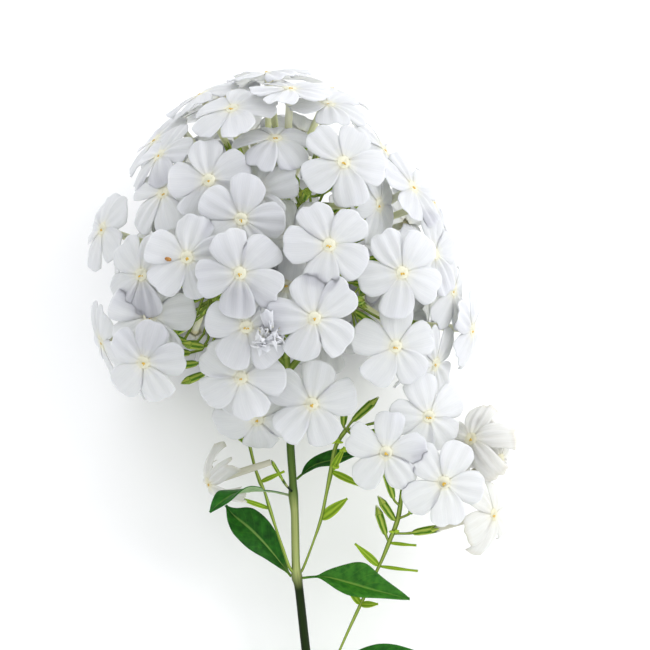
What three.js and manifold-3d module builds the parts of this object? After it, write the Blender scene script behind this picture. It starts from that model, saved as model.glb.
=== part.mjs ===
// A cut stem of white garden phlox, lying on its back on a flat surface.
// Millimetres, +Z up. The origin is on that surface, at the middle of the part's box.
//
// The plant is described as it grew: x to the right, h up the stem and d towards
// the side that the flower head shows. layDown() then turns it onto the surface.

import * as THREE from "three";
import Module from "manifold-3d";

const wasm = await Module();
wasm.setup();

// Driving dimensions

const LEAN_DEG = 15; // rise of the stem from its cut end to the head that it rests on
const STEM_CUT_RADIUS = 1.7;
const CENTRE_X = -0.97; // middle of the part's box, before it is moved to the origin
const CENTRE_Y = 125.52;

const HEAD_X = -5.7; // centre of the flower head
const HEAD_H = 186;
const HEAD_WIDE = 58.5; // from the centre to the throats of the florets, sideways and in depth
const HEAD_UP = 68;
const HEAD_DOWN = 55;
const HEAD_EDGE_DEG = 128; // the lowest florets, counted from the top of the head
const HEAD_NOD = 6.3; // how far the top of the head hangs over to the left
const NOD_FROM = 205; // between these heights
const NOD_TO = 235;
const SHOULDER_SLIM = 0.14; // share by which the shoulder is slimmer than an oval
const SHOULDER_AT = 0.93; // its angle from the top of the head, in radians, and its spread
const SHOULDER_SPREAD = 0.27;
const TURN_TO_LIGHT = 0.3; // how much the florets round the rim turn to the side that shows
const HEAD_FLORETS = 88; // places spread over the whole head
const FLORET_SPACING = 18.5; // a place nearer than this to a floret of the list stays empty
const SPIN_SHARE = 0.618; // part of a turn from one place's lobes to those of the next
const SIDE_ON = 0.3; // a floret that faces the viewer less than this is seen from its side

const LOBES = 5;
const LOBE_REACH = 14.8; // throat to the tip of a lobe
const NOTCH_REACH = 4.4; // throat to the notch between two lobes
const LOBE_OUTLINE = [
  { along: 8.6, half: 5.4 },
  { along: 13.7, half: 4.8 },
];
const PETAL_THICKNESS = 0.7;
const PETAL_CURL = 1.2; // how far the tips of the lobes bend back
const TUBE_LENGTH = 20;
const TUBE_TOP_RADIUS = 1.35;
const TUBE_END_RADIUS = 1.0;

const GAP = 0.3; // between pieces that touch

const CALYX_LENGTH = 8;
const CALYX_MOUTH_RADIUS = 1.5;
const CALYX_BASE_RADIUS = 0.9;
const CALYX_SIDES = 3;
const COLLAR = 2; // last stretch of a bent calyx, in line with the tube
const PEDICEL_RADIUS = 0.4;
const BRANCH_RADIUS = 1.1;
const BRANCH_END_RADIUS = 0.9;
const BRANCH_SIDES = 4;
const AXIS_SIDES = 6;
const STEM_SIDES = 8;
const SIDE_STEM_SIDES = 6;
const HUB_COUNT = 14;
const HUB_RADIUS = 2.3;
const HUB_TIP = 0.5; // radius of a fork's knob at both ends
const HUB_EDGE_DEG = 115; // the lowest forks, counted from the top of the head
const NECK_X = -3.1; // where the stem enters the head
const NECK_H = 127;
const AXIS_LINE = [
  { h: NECK_H + GAP, radius: 1.3 },
  { h: 150, radius: 1.25 },
  { h: 180, radius: 1.15 },
  { h: 204, radius: 0.9 },
];
const AXIS_ROOTS = [150, 162, 174, 186, 198]; // heights on the axis that pedicels may leave from
const BRANCH_RISE = 24; // a branch leaves the axis this far below its fork
const BRANCH_LOWEST = 135;
const BRANCH_HIGHEST = 200;
const PEDICEL_AIM = 9; // how far behind its calyx a pedicel looks for its fork
const HUB_DEPTH = 0.42; // share of the head's radius at which the branches fork into pedicels

const CLEARANCE = 0.12; // least room on each side of a floret that crosses nothing
const SURFACE_SLACK = 0.01; // a petal may dip this far into the surface before it is refused
const LEVEL_STEPS = [0, -1.5, 1.5, -3, 3, -4.5, 4.5, -6, 6, -7.5, 7.5, -9, -10.5, -12];
const STEP_COST = 5; // each millimetre off its level weighs as much as this many triangles of crossing
const LIST_STEP_COST = 14; // the same for the florets of the list
const FREE_COST = 76; // and a body of its own as much as this many
const CYME_FLORETS = 6; // most florets that cross each other in one cyme
const CROSSING_LEAST = 0.3; // mm3 of crossing that holds two florets together

const BLADE_THICKNESS = 0.7;
const BLADE_NARROWEST = 0.35; // half width at its ends
const LEAF_STATIONS = 8;
const LEAF_FOLD_DEG = 18; // how far each half of the blade rises from flat
const LEAF_FULLEST = 0.75; // below 1 the blade is widest nearer its base
const BRACT_STATIONS = 3;
const BRACT_FOLD_DEG = 15;
const BRACT_FULLEST = 0.7;
const BRACT_ARCH = 1;
const BRACT_FRONT = [0, 0.3, 0.95];

const FINISH = {
  stem: { color: 0x5e7f2a, roughness: 0.55 },
  calyx: { color: 0x6b9132, roughness: 0.6 },
  leaf: { color: 0x1f6a2c, roughness: 0.5 },
  fresh: { color: 0xf1f3f6, roughness: 0.6 },
  faded: { color: 0xeae4d8, roughness: 0.6 },
};

// Florets of the head that face the viewer, by hand: throat x and h, the facing's
// share to the right and upwards, and the direction of one lobe in degrees.
// Where d is left out, the throat lies on the head's dome.
const HEAD_LIST = [
  { x: -49.6, h: 157.2, d: 40.5, right: -0.35, up: -0.2, spin: 4 },
  { x: -45.7, h: 224.6, d: 24, right: -0.635, up: 0.635, spin: 20 },
  { x: -10.8, h: 253, right: -0.15, up: 0.98, spin: -49 },
  { x: -33.5, h: 247.3, d: 8, right: -0.452, up: 0.875, spin: 0 },
  { x: -65.5, h: 201, d: 10, right: -0.8, up: 0.25, spin: 180 },
  { x: -66, h: 163.5, d: 8, right: -0.9, up: -0.3, spin: -50, curl: 2 },
  { x: 9.7, h: 194.4, right: 0.12, up: 0.02, spin: 41 },
  { x: 26, h: 208, d: 33, right: 0.85, up: 0, spin: 50 },
  { x: 5.1, h: 171.4, right: 0.05, up: -0.05, spin: 35 },
  { x: -18.5, h: 185.5, right: -0.08, up: 0, spin: 45 },
  { x: -35.3, h: 190.6, right: -0.15, up: 0.02, spin: 10 },
  { x: -28.7, h: 215.4, right: -0.12, up: 0.2, spin: 31 },
  { x: 33, h: 185.9, right: 0.3, up: 0.02, spin: 50 },
  { x: 31.1, h: 162.3, right: 0.3, up: -0.1, spin: 20 },
  { x: -18.4, h: 152.4, right: -0.08, up: -0.1, spin: -2 },
  { x: 4.2, h: 143.9, right: 0.05, up: -0.1, spin: 5 },
  { x: -50.6, h: 185.3, right: -0.45, up: 0.05, spin: 65 },
  { x: -44.5, h: 212.5, d: 36, right: -0.5, up: 0.5, spin: -80, curl: 3 },
  { x: -21.7, h: 239.2, right: -0.25, up: 0.75, spin: 10 },
  { x: -7.6, h: 230.5, right: 0, up: 0.8, spin: 12, curl: 4 },
  { x: -3, h: 243, right: 0.05, up: 0.93, spin: 15 },
  { x: 13.1, h: 219.5, right: 0.2, up: 0.25, spin: 64 },
  { x: 9.4, h: 241.4, right: 0.2, up: 0.87, spin: 40 },
  { x: 28.2, h: 227.6, right: 0.8, up: 0.53, spin: 20 },
  { x: 36, h: 213.6, right: 0.75, up: 0.45, spin: 20 },
  { x: 45.2, h: 192.8, right: 0.75, up: 0.2, spin: 15 },
  { x: 50.9, h: 180.6, right: 0.88, up: 0, spin: 30 },
  { x: 57.5, h: 167.5, d: 6, right: 0.93, up: -0.1, spin: 25 },
  { x: 46, h: 156, d: 18, right: 0.8, up: -0.25, spin: 50 },
  { x: -46.5, h: 171.5, d: 32, right: -0.25, up: 0.1, spin: 8 },
  { x: -16.4, h: 168.6, d: 53, right: -0.1, up: -0.1, spin: 20 },
  { x: -14.9, h: 212.4, d: 44, right: -0.45, up: 0.15, spin: 25 },
  { x: -18.2, h: 202.7, d: 51, right: 0, up: 0, spin: 0 },
  { x: -2, h: 197, d: 40, right: -0.25, up: 0.15, spin: 46 },
  { x: -4, h: 182, d: 40, right: 0, up: 0, spin: 46 },
];

// Unopened buds and calyces that show between the florets: the mouth and its direction.
const HEAD_BUDS = [
  { x: -42.6, h: 165.7, d: 33, right: -0.75, up: 0.25 },
  { x: -42, h: 160.5, d: 31, right: -0.8, up: 0.05 },
  { x: -39.4, h: 156, d: 33, right: -0.78, up: -0.1 },
  { x: -36.5, h: 151, d: 32, right: -0.7, up: -0.3 },
  { x: -36, h: 163, d: 38, right: -0.6, up: 0.1 },
  { x: -1.1, h: 216, d: 43, right: 0, up: 0.45 },
  { x: 3, h: 212, d: 46, right: 0.15, up: 0.3 },
  { x: -11, h: 221, d: 38, right: -0.1, up: 0.5 },
  { x: 18, h: 207, d: 42, right: 0.4, up: 0.3 },
  { x: -24.5, h: 202, d: 44, right: -0.35, up: 0.2 },
  { x: 20, h: 177, d: 47, right: 0.4, up: 0 },
  { x: -27, h: 178, d: 45, right: -0.4, up: 0 },
];

// Florets of the side sprays, by points along each: the throat, the end of its tube,
// the base of its calyx and where its pedicel leaves the stem named.
const SIDE_LIST = [
  {
    node: "spray_florets_fresh", on: "side_spray_stem",
    throat: [28, 128.2, 36], right: 0.05, up: -0.05, spin: 12,
    tubeEnd: [28.4, 121, 18], calyxBase: [31, 112, 12], root: [33.4, 109, 8.2],
  },
  {
    node: "spray_florets_fresh", on: "side_spray_stem",
    throat: [46.7, 118.4, 34], right: 0.1, up: 0, spin: -9,
    tubeEnd: [40, 111.5, 17], calyxBase: [36.5, 107, 11], root: [32.6, 104.8, 7.5],
  },
  {
    node: "spray_florets_faded", on: "side_spray_stem",
    throat: [56, 132, 22], right: -0.45, up: 0.3, spin: 80, curl: 7, faded: true,
    tubeEnd: [64, 126.5, 6], calyxBase: [60.5, 120.5, 1], root: [33.9, 113.8, 9],
  },
  {
    node: "spray_florets_faded", on: "side_spray_stem",
    throat: [66, 125, 17], right: 0.75, up: -0.2, spin: -60, curl: 8, faded: true,
    tubeEnd: [52, 115.5, 12], calyxBase: [46, 111, 9], root: [33.9, 112, 9],
  },
  {
    node: "spray_florets_faded", on: "side_spray_stem",
    throat: [64.1, 106.6, 14], right: 0.82, up: 0.05, spin: 70, curl: 3, faded: true,
    tubeEnd: [45, 101.6, 9], calyxBase: [37.5, 100.2, 8], root: [31, 99.8, 5.8],
  },
  {
    node: "side_floret_left", on: "side_stem_left",
    throat: [-13.5, 138.5, 30], right: 0.05, up: -0.5, spin: -88, curl: 3,
    tubeEnd: [-15, 142, 11.5], calyxBase: [-17, 136.5, 9], root: [-16.9, 131, 11],
  },
  {
    node: "side_floret_right", on: "side_stem_right",
    throat: [42, 139.5, 29], right: 0.4, up: -0.15, spin: 178,
    tubeEnd: [34, 139, 11], calyxBase: [26, 137, 9], root: [15.3, 134.5, 12],
  },
  {
    node: "stem_floret_faded", on: "stem",
    throat: [-30, 117, 15], right: -0.85, up: -0.33, spin: 60, curl: 6, faded: true,
    tubeEnd: [-9.4, 124, 13.5], calyxBase: [-5.5, 117.5, 8], root: [-2.3, 113, 0],
  },
];

// Calyces and small buds of the side stems: base and mouth.
const SIDE_BUDS = [
  { on: "side_stem_right", base: [17.5, 137.5, 12], mouth: [24.5, 144, 14] },
  { on: "side_stem_right", base: [18, 133, 13], mouth: [27.5, 134, 17] },
  { on: "side_stem_right", base: [14.5, 136, 11], mouth: [15, 145, 13] },
  { on: "side_spray_stem", base: [33.9, 113, 9], mouth: [36.5, 122, 10] },
  { on: "side_spray_stem", base: [31.4, 104.5, 8], mouth: [27, 111, 11] },
  { on: "side_spray_stem", base: [28.6, 99.5, 6], mouth: [26, 107.5, 8.5] },
  { on: "side_stem_left", base: [-18, 130.5, 11.5], mouth: [-24, 137, 13] },
];

// Stems, as [x, h, d, radius] from the bottom up. The wider places are nodes.
const STEM_LINES = {
  stem: [
    [7.4, 0, 0, STEM_CUT_RADIUS], [6.2, 19, 0, 1.6], [5, 34, 0, 1.55], [4.7, 38.2, 0, 1.9],
    [4.1, 43, 0, 1.5], [2, 60.3, 0, 1.5], [-0.2, 80.1, 0, 1.45], [-1, 84.8, 0, 1.85],
    [-1.4, 90, 0, 1.4], [-1.7, 105.2, 0, 1.35], [-2.2, 111.9, 0, 1.65], [-2.4, 117.3, 0, 1.3],
    [NECK_X, NECK_H, 0, 1.25],
  ],
  side_stem_left: [
    [-3.6, 88.4, 1.4, 0.6], [-5.4, 94, 4.8, 0.6], [-7.6, 100.7, 7, 0.6], [-10, 108.4, 8, 0.75],
    [-11.7, 114.1, 9, 0.55], [-13.1, 117.2, 10, 0.8], [-14.9, 122.5, 11, 0.55], [-16.9, 131, 11, 0.65],
  ],
  side_stem_right: [
    [1.1, 87.7, -0.9, 0.5], [4.3, 96.2, 2, 0.5], [7.1, 104.6, 5, 0.75], [8.7, 112.4, 8, 0.65],
    [10.4, 120.8, 10, 0.9], [12, 129.2, 11, 0.7], [15.3, 134.5, 12, 0.8],
  ],
  side_spray_stem: [
    [7.1, 42.7, -1.4, 0.5], [9.1, 49, 0, 0.5], [13.4, 60.7, 2, 0.5], [20.3, 75.9, 2.5, 0.75],
    [26.5, 88.7, 2.5, 0.75], [29.7, 96.7, 5, 0.8], [32.6, 104.8, 7.5, 0.85], [33.9, 113.8, 9, 0.75],
  ],
};

// Narrow bracts that grow from the side stems: root, tip and half width.
const BRACTS = [
  { on: "side_stem_left", root: [-10, 108.2, 7], tip: [-21.3, 112.4, 10], half: 0.8 },
  { on: "side_stem_left", root: [-13.1, 117.2, 10], tip: [-5, 121, 14], half: 0.8 },
  { on: "side_stem_right", root: [7.1, 104.6, 5], tip: [15.8, 111.7, 9], half: 1.9 },
  { on: "side_stem_right", root: [10.4, 120.8, 10], tip: [22, 115.5, 13], half: 1.2 },
  { on: "side_stem_right", root: [10.4, 120.8, 10], tip: [14.8, 129, 14], half: 1.2 },
  { on: "side_spray_stem", root: [20.3, 75.9, 2.5], tip: [15.6, 82.5, 6], half: 1.2 },
  { on: "side_spray_stem", root: [20.3, 75.9, 2.5], tip: [26, 76.5, 7], half: 1.2 },
  { on: "side_spray_stem", root: [26.5, 88.7, 2.5], tip: [18.4, 96.6, 8], half: 1.3 },
  { on: "side_spray_stem", root: [26.5, 88.7, 2.5], tip: [39.4, 87.2, 4], half: 0.6 },
  { on: "side_spray_stem", root: [29.7, 96.7, 5], tip: [38.8, 96, 7], half: 0.6 },
];

// Leaves: the midrib from stem to tip, half the width, and the way the blade looks.
// petiole is the share of the midrib with no blade to it yet.
const LEAVES = [
  {
    name: "leaf_lower_left", half: 6.5, front: [-0.1, 0.3, 0.95],
    spine: [[2.3, 39.6, 0.6], [-8, 46, 5], [-19, 50, 7], [-31, 48, 4]],
  },
  {
    name: "leaf_lower_right", half: 7, front: [0.1, 0.3, 0.95],
    spine: [[7.2, 39.6, 0.8], [17, 51, 6], [29, 58.5, 8], [42, 59.5, 6]],
  },
  {
    name: "leaf_middle_left", half: 6.4, front: [0.2, 0.3, 0.93], fullest: 0.95, petiole: 0.05,
    spine: [[-3.4, 85.6, -0.4], [-10.1, 94.2, 0.5], [-16.2, 100.8, 2], [-22, 105.6, 2], [-24.8, 108.9, 1]],
  },
  {
    name: "leaf_middle_right", half: 7.3, front: [0, 0.56, 0.83], foldDeg: 34, fullest: 1.1, petiole: 0.17,
    spine: [[1.4, 84.6, 0.8], [7.9, 85.4, 5], [15.9, 83.8, 8], [23.8, 81.6, 9], [36.6, 78.1, 6]],
  },
  {
    name: "leaf_upper_left", half: 4.6, front: [0, 0.97, -0.2], tipFront: [-0.2, 0.5, 0.85], petiole: 0.3,
    spine: [
      [-4.3, 112.6, 0.5], [-9.5, 114.4, 11], [-15, 115.2, 21], [-21, 114.6, 29], [-25.5, 112, 34],
      [-28.5, 109.2, 37],
    ],
  },
  {
    name: "leaf_upper_right", half: 3.8, front: [-0.2, 0.75, 0.6], petiole: 0.1,
    spine: [[-0.45, 118.2, -0.5], [4.5, 122, -3], [10.5, 123.8, -5], [16.5, 125.2, -6.5], [22.6, 126.4, -7]],
  },
];
const TWIST_FROM = 0.45; // a blade with a tipFront turns to it between these shares of its length
const TWIST_TO = 0.9;

// The plant lies on its back

const lean = THREE.MathUtils.degToRad(LEAN_DEG);

function layDirection(x, h, d) {
  return new THREE.Vector3(
    x,
    h * Math.cos(lean) - d * Math.sin(lean),
    h * Math.sin(lean) + d * Math.cos(lean),
  );
}

function layDown(x, h, d) {
  const point = layDirection(x, h, d);
  point.z += STEM_CUT_RADIUS * Math.cos(lean);
  return point;
}

// Solids

function solid(points, triangles) {
  const mesh = new wasm.Mesh({
    numProp: 3,
    vertProperties: new Float32Array(points.flatMap((p) => [p.x, p.y, p.z])),
    triVerts: new Uint32Array(triangles.flat()),
  });
  return new wasm.Manifold(mesh);
}

function union(solids) {
  return solids.reduce((sum, next) => sum.add(next));
}

function meshOf(name, shape, finish) {
  const { vertProperties, triVerts } = shape.getMesh();
  const geometry = new THREE.BufferGeometry();
  geometry.setAttribute("position", new THREE.BufferAttribute(vertProperties, 3));
  geometry.setIndex(new THREE.BufferAttribute(triVerts, 1));
  geometry.computeVertexNormals();
  const material = new THREE.MeshStandardMaterial({ ...finish, metalness: 0 });
  const mesh = new THREE.Mesh(geometry, material);
  mesh.name = name;
  return mesh;
}

// A closed tube of flat sides through points, with a radius at each point.
function sweep(points, radii, sides) {
  const rings = [];
  let across = new THREE.Vector3(0, 0, 1);
  points.forEach((point, i) => {
    const before = points[Math.max(i - 1, 0)];
    const after = points[Math.min(i + 1, points.length - 1)];
    const along = after.clone().sub(before).normalize();
    if (Math.abs(along.dot(across)) > 0.95) across = new THREE.Vector3(1, 0, 0);
    across = across.clone().addScaledVector(along, -along.dot(across)).normalize();
    const third = along.clone().cross(across);
    for (let k = 0; k < sides; k += 1) {
      const angle = (2 * Math.PI * k) / sides;
      rings.push(
        point
          .clone()
          .addScaledVector(across, radii[i] * Math.cos(angle))
          .addScaledVector(third, radii[i] * Math.sin(angle)),
      );
    }
  });
  const triangles = [];
  for (let i = 0; i + 1 < points.length; i += 1) {
    for (let k = 0; k < sides; k += 1) {
      const a = i * sides + k;
      const b = i * sides + ((k + 1) % sides);
      triangles.push([a, b, b + sides], [a, b + sides, a + sides]);
    }
  }
  const last = (points.length - 1) * sides;
  for (let k = 1; k + 1 < sides; k += 1) {
    triangles.push([0, k + 1, k], [last, last + k, last + k + 1]);
  }
  return solid(rings, triangles);
}

// A blade folded along its midrib, with the same triangles on both faces.
function blade({ spine, half, front, tipFront = front, foldDeg, stations, fullest, petiole = 0 }) {
  const curve = new THREE.CatmullRomCurve3(spine);
  const fold = THREE.MathUtils.degToRad(foldDeg);
  const top = [];
  const bottom = [];
  for (let i = 0; i < stations; i += 1) {
    const t = i / (stations - 1);
    const point = curve.getPoint(t);
    const along = curve.getTangent(t);
    const way = front.clone().lerp(tipFront, THREE.MathUtils.smoothstep(t, TWIST_FROM, TWIST_TO));
    const side = along.clone().cross(way).normalize();
    const up = side.clone().cross(along);
    const share = Math.max(t - petiole, 0) / (1 - petiole);
    const width = Math.max(half * Math.sin(Math.PI * share ** fullest), BLADE_NARROWEST);
    for (const sign of [1, 0, -1]) {
      const edge = point
        .clone()
        .addScaledVector(side, sign * width * Math.cos(fold))
        .addScaledVector(up, Math.abs(sign) * width * Math.sin(fold));
      top.push(edge);
      bottom.push(edge.clone().addScaledVector(up, -BLADE_THICKNESS));
    }
  }
  const count = top.length;
  const triangles = [];
  for (let i = 0; i + 1 < stations; i += 1) {
    for (const j of [0, 1]) {
      const a = 3 * i + j;
      const corners = [a, a + 3, a + 4, a + 1];
      triangles.push([corners[0], corners[1], corners[2]], [corners[0], corners[2], corners[3]]);
      const under = corners.map((n) => n + count);
      triangles.push([under[0], under[2], under[1]], [under[0], under[3], under[2]]);
    }
    const left = 3 * i;
    const right = 3 * i + 2;
    triangles.push([left, left + 3 + count, left + 3], [left, left + count, left + 3 + count]);
    triangles.push([right, right + 3 + count, right + count], [right, right + 3, right + 3 + count]);
  }
  const end = 3 * (stations - 1);
  for (const j of [0, 1]) {
    const tip = end + j;
    triangles.push([j, j + 1 + count, j + count], [j, j + 1, j + 1 + count]);
    triangles.push([tip, tip + 1 + count, tip + 1], [tip, tip + count, tip + 1 + count]);
  }
  return solid([...top, ...bottom], triangles);
}

// Florets

// A lobe's direction in the plane of the limb, as seen from the front.
function lobeDirection(facing, spinDeg) {
  const spin = THREE.MathUtils.degToRad(spinDeg);
  const { x: right, y: up, z: depth } = facing;
  if (depth > SIDE_ON) {
    const away = -(right * Math.cos(spin) + up * Math.sin(spin)) / depth;
    return new THREE.Vector3(Math.cos(spin), Math.sin(spin), away).normalize();
  }
  const level = new THREE.Vector3(-depth, 0, right);
  if (level.length() < 0.1) level.set(1, 0, 0);
  level.addScaledVector(facing, -level.dot(facing)).normalize();
  return level
    .clone()
    .multiplyScalar(Math.cos(spin))
    .addScaledVector(facing.clone().cross(level), Math.sin(spin));
}

// Where a floret's throat is, which way it faces and where its first lobe points.
// Near the surface that the head lies on, the limb is pressed flat against it.
function poseOf({ x, h, d, facing, spin, curl = PETAL_CURL, tubeEnd = null }) {
  const at = layDown(x, h, d);
  const lobe = lobeDirection(facing, spin);
  const pose = {
    at,
    facing: layDirection(facing.x, facing.y, facing.z),
    lobe: layDirection(lobe.x, lobe.y, lobe.z),
    curl,
    tube: tubeEnd ? layDown(...tubeEnd).sub(at) : null,
  };
  at.z = Math.max(at.z, 0);
  const sine = Math.min(at.z / LOBE_REACH, 1);
  const slope = Math.hypot(pose.facing.x, pose.facing.y);
  if (pose.facing.z < 0 && slope > sine) {
    pose.facing.multiplyScalar(sine / slope);
    pose.facing.z = -Math.sqrt(1 - sine * sine);
    pose.lobe.addScaledVector(pose.facing, -pose.lobe.dot(pose.facing)).normalize();
    pose.curl = 0;
  }
  pose.tube ??= pose.facing.clone().multiplyScalar(-TUBE_LENGTH);
  return pose;
}

// The corolla in one piece: five lobes round a small flat eye, and the tube behind it.
// extra thickens it evenly, to test how close another piece comes.
function corolla(pose, level, extra = 0) {
  const across = pose.facing.clone().cross(pose.lobe);
  const place = (along, side, out) =>
    pose.at
      .clone()
      .addScaledVector(pose.lobe, along)
      .addScaledVector(across, side)
      .addScaledVector(pose.facing, out + level);
  const rim = [];
  const ring = [];
  const turn = (2 * Math.PI) / LOBES;
  const polar = (angle, along, side) => [
    along * Math.cos(angle) - side * Math.sin(angle),
    along * Math.sin(angle) + side * Math.cos(angle),
  ];
  for (let k = 0; k < LOBES; k += 1) {
    const angle = k * turn;
    ring.push([...polar(angle - turn / 2, NOTCH_REACH, 0), 0]);
    const edge = [
      [LOBE_OUTLINE[0].along, -LOBE_OUTLINE[0].half],
      [LOBE_OUTLINE[1].along, -LOBE_OUTLINE[1].half],
      [LOBE_OUTLINE[1].along, LOBE_OUTLINE[1].half],
      [LOBE_OUTLINE[0].along, LOBE_OUTLINE[0].half],
    ];
    for (const [along, side] of edge) {
      const share = (along - NOTCH_REACH) / (LOBE_REACH - NOTCH_REACH);
      rim.push([...polar(angle, along, side), -pose.curl * share * share]);
    }
  }
  const outer = [];
  const triangles = [];
  const perLobe = 5; // the notch and the four corners of a lobe
  for (let k = 0; k < LOBES; k += 1) {
    outer.push(ring[k], ...rim.slice(4 * k, 4 * k + 4));
  }
  const size = outer.length;
  const notch = (k) => (k % LOBES) * perLobe;
  for (let k = 0; k < LOBES; k += 1) {
    const first = notch(k);
    const next = notch(k + 1);
    const corners = [first, first + 1, first + 2, first + 3, first + 4, next];
    for (const [a, b, c] of [[0, 1, 2], [0, 2, 3], [0, 3, 5], [3, 4, 5]]) {
      triangles.push([corners[a], corners[b], corners[c]]);
      triangles.push([corners[a] + size, corners[c] + size, corners[b] + size]);
    }
    for (let j = 0; j < perLobe; j += 1) {
      const a = corners[j];
      const b = corners[j + 1];
      triangles.push([a, a + size, b + size], [a, b + size, b]);
    }
  }
  triangles.push([notch(0), notch(1), notch(2)], [notch(0), notch(2), notch(3)]);
  triangles.push([notch(0), notch(3), notch(4)]);
  const points = [
    ...outer.map(([a, s, c]) => place(a, s, c + extra)),
    ...outer.map(([a, s, c]) => place(a, s, c - PETAL_THICKNESS - extra)),
  ];
  const tube = points.length;
  const back = pose.tube.clone().normalize();
  const end = pose.at.clone().add(pose.tube).addScaledVector(pose.facing, level);
  for (let k = 0; k < LOBES; k += 1) {
    points.push(place(...polar((k - 0.5) * turn, TUBE_TOP_RADIUS + extra, 0), -PETAL_THICKNESS - extra));
  }
  for (let k = 0; k < LOBES; k += 1) {
    const [along, side] = polar((k - 0.5) * turn, TUBE_END_RADIUS + extra, 0);
    const out = new THREE.Vector3().addScaledVector(pose.lobe, along).addScaledVector(across, side);
    points.push(end.clone().add(out.addScaledVector(back, -out.dot(back))));
  }
  for (let k = 0; k < LOBES; k += 1) {
    const next = (k + 1) % LOBES;
    const pairs = [
      [notch(k) + size, notch(next) + size, tube + next, tube + k],
      [tube + k, tube + next, tube + LOBES + next, tube + LOBES + k],
    ];
    for (const [a, b, c, e] of pairs) triangles.push([a, c, b], [a, e, c]);
  }
  const cap = tube + LOBES;
  triangles.push([cap, cap + 2, cap + 1], [cap, cap + 3, cap + 2], [cap, cap + 4, cap + 3]);
  return solid(points, triangles);
}

const FLORET_DEPTH = TUBE_LENGTH + GAP;

// A pedicel that widens into its calyx, whose mouth is square to the floret's tube.
function stalk(root, base, mouth, facing) {
  const collar = mouth.clone().addScaledVector(facing, -COLLAR);
  const points = [root, base, collar, mouth];
  const radii = [PEDICEL_RADIUS, CALYX_BASE_RADIUS, CALYX_MOUTH_RADIUS, CALYX_MOUTH_RADIUS];
  const straight = collar.clone().sub(base).normalize().dot(facing) > 0.99;
  if (straight) {
    points.splice(2, 1);
    radii.splice(2, 1);
  }
  return sweep(points, radii, CALYX_SIDES);
}

// The fork or the point of the axis nearest to a place well behind the calyx.
function rootOf(base, facing) {
  const aim = base.clone().addScaledVector(facing, -PEDICEL_AIM);
  return roots.reduce((best, one) => (one.distanceTo(aim) < best.distanceTo(aim) ? one : best));
}

// The largest body of a solid, without the loose scraps that a crossing can leave.
function whole(shape) {
  const bodies = shape.decompose();
  return bodies.reduce((best, body) => (body.volume() > best.volume() ? body : best));
}

function headStalk(mouth, facing) {
  const base = mouth.clone().addScaledVector(facing, -CALYX_LENGTH);
  return stalk(rootOf(base, facing), base, mouth, facing);
}

// The dome of the head, an oval whose shoulder is slimmer and whose top hangs over to the left

const middleAt = (h) => HEAD_X - HEAD_NOD * THREE.MathUtils.smoothstep(h, NOD_FROM, NOD_TO);
const wideAt = (polar) =>
  HEAD_WIDE * (1 - SHOULDER_SLIM * Math.exp(-(((polar - SHOULDER_AT) / SHOULDER_SPREAD) ** 2)));

function domePoint(polar, azimuth, share = 1) {
  const up = Math.cos(polar) > 0 ? HEAD_UP : HEAD_DOWN;
  const flat = wideAt(polar) * Math.sin(polar) * share;
  const rise = up * Math.cos(polar) * share;
  const side = flat * Math.cos(azimuth);
  const depth = flat * Math.sin(azimuth);
  const h = HEAD_H + rise;
  return {
    x: middleAt(h) + side,
    h,
    d: depth,
    facing: new THREE.Vector3(side / HEAD_WIDE ** 2, rise / up ** 2, depth / HEAD_WIDE ** 2).normalize(),
  };
}

function domeDepth(x, h) {
  const rise = h - HEAD_H;
  const polar = Math.acos(THREE.MathUtils.clamp(rise / (rise > 0 ? HEAD_UP : HEAD_DOWN), -1, 1));
  const flat = wideAt(polar) * Math.sin(polar);
  return Math.sqrt(Math.max(flat ** 2 - (x - middleAt(h)) ** 2, 0));
}

// Round the rim of the head, as it is seen, the florets turn a little to the light.
function turned(facing) {
  const turn = TURN_TO_LIGHT * (1 - facing.z ** 2);
  return new THREE.Vector3(facing.x, facing.y, facing.z + turn).normalize();
}

function spread(count, edgeDeg, share) {
  const edge = 1 - Math.cos(THREE.MathUtils.degToRad(edgeDeg));
  const golden = Math.PI * (3 - Math.sqrt(5));
  return Array.from({ length: count }, (_, k) =>
    domePoint(Math.acos(1 - (edge * (k + 0.5)) / count), k * golden, share),
  );
}

function listed(entry) {
  const depth = Math.sqrt(1 - entry.right ** 2 - entry.up ** 2);
  return {
    ...entry,
    d: entry.d ?? domeDepth(entry.x, entry.h),
    facing: new THREE.Vector3(entry.right, entry.up, depth),
  };
}

const distance = (p, q) => Math.hypot(p.x - q.x, p.h - q.h, p.d - q.d);

const front = HEAD_LIST.map(listed);
const rest = spread(HEAD_FLORETS, HEAD_EDGE_DEG, 1)
  .filter((place) => front.every((other) => distance(place, other) > FLORET_SPACING))
  .map((place, k) => ({ ...place, facing: turned(place.facing), spin: 360 * ((k * SPIN_SHARE) % 1) }));

const forks = spread(HUB_COUNT, HUB_EDGE_DEG, HUB_DEPTH);
const hubs = forks.map((p) => layDown(p.x, p.h, p.d));
const axisAt = (h) => layDown(NECK_X + ((HEAD_X - NECK_X) * (h - NECK_H)) / (HEAD_H - NECK_H), h, 0);
const roots = [...hubs, ...AXIS_ROOTS.map(axisAt)];

// Green parts of the head: its axis, branches, pedicels, calyces and buds, grown in one piece

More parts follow.
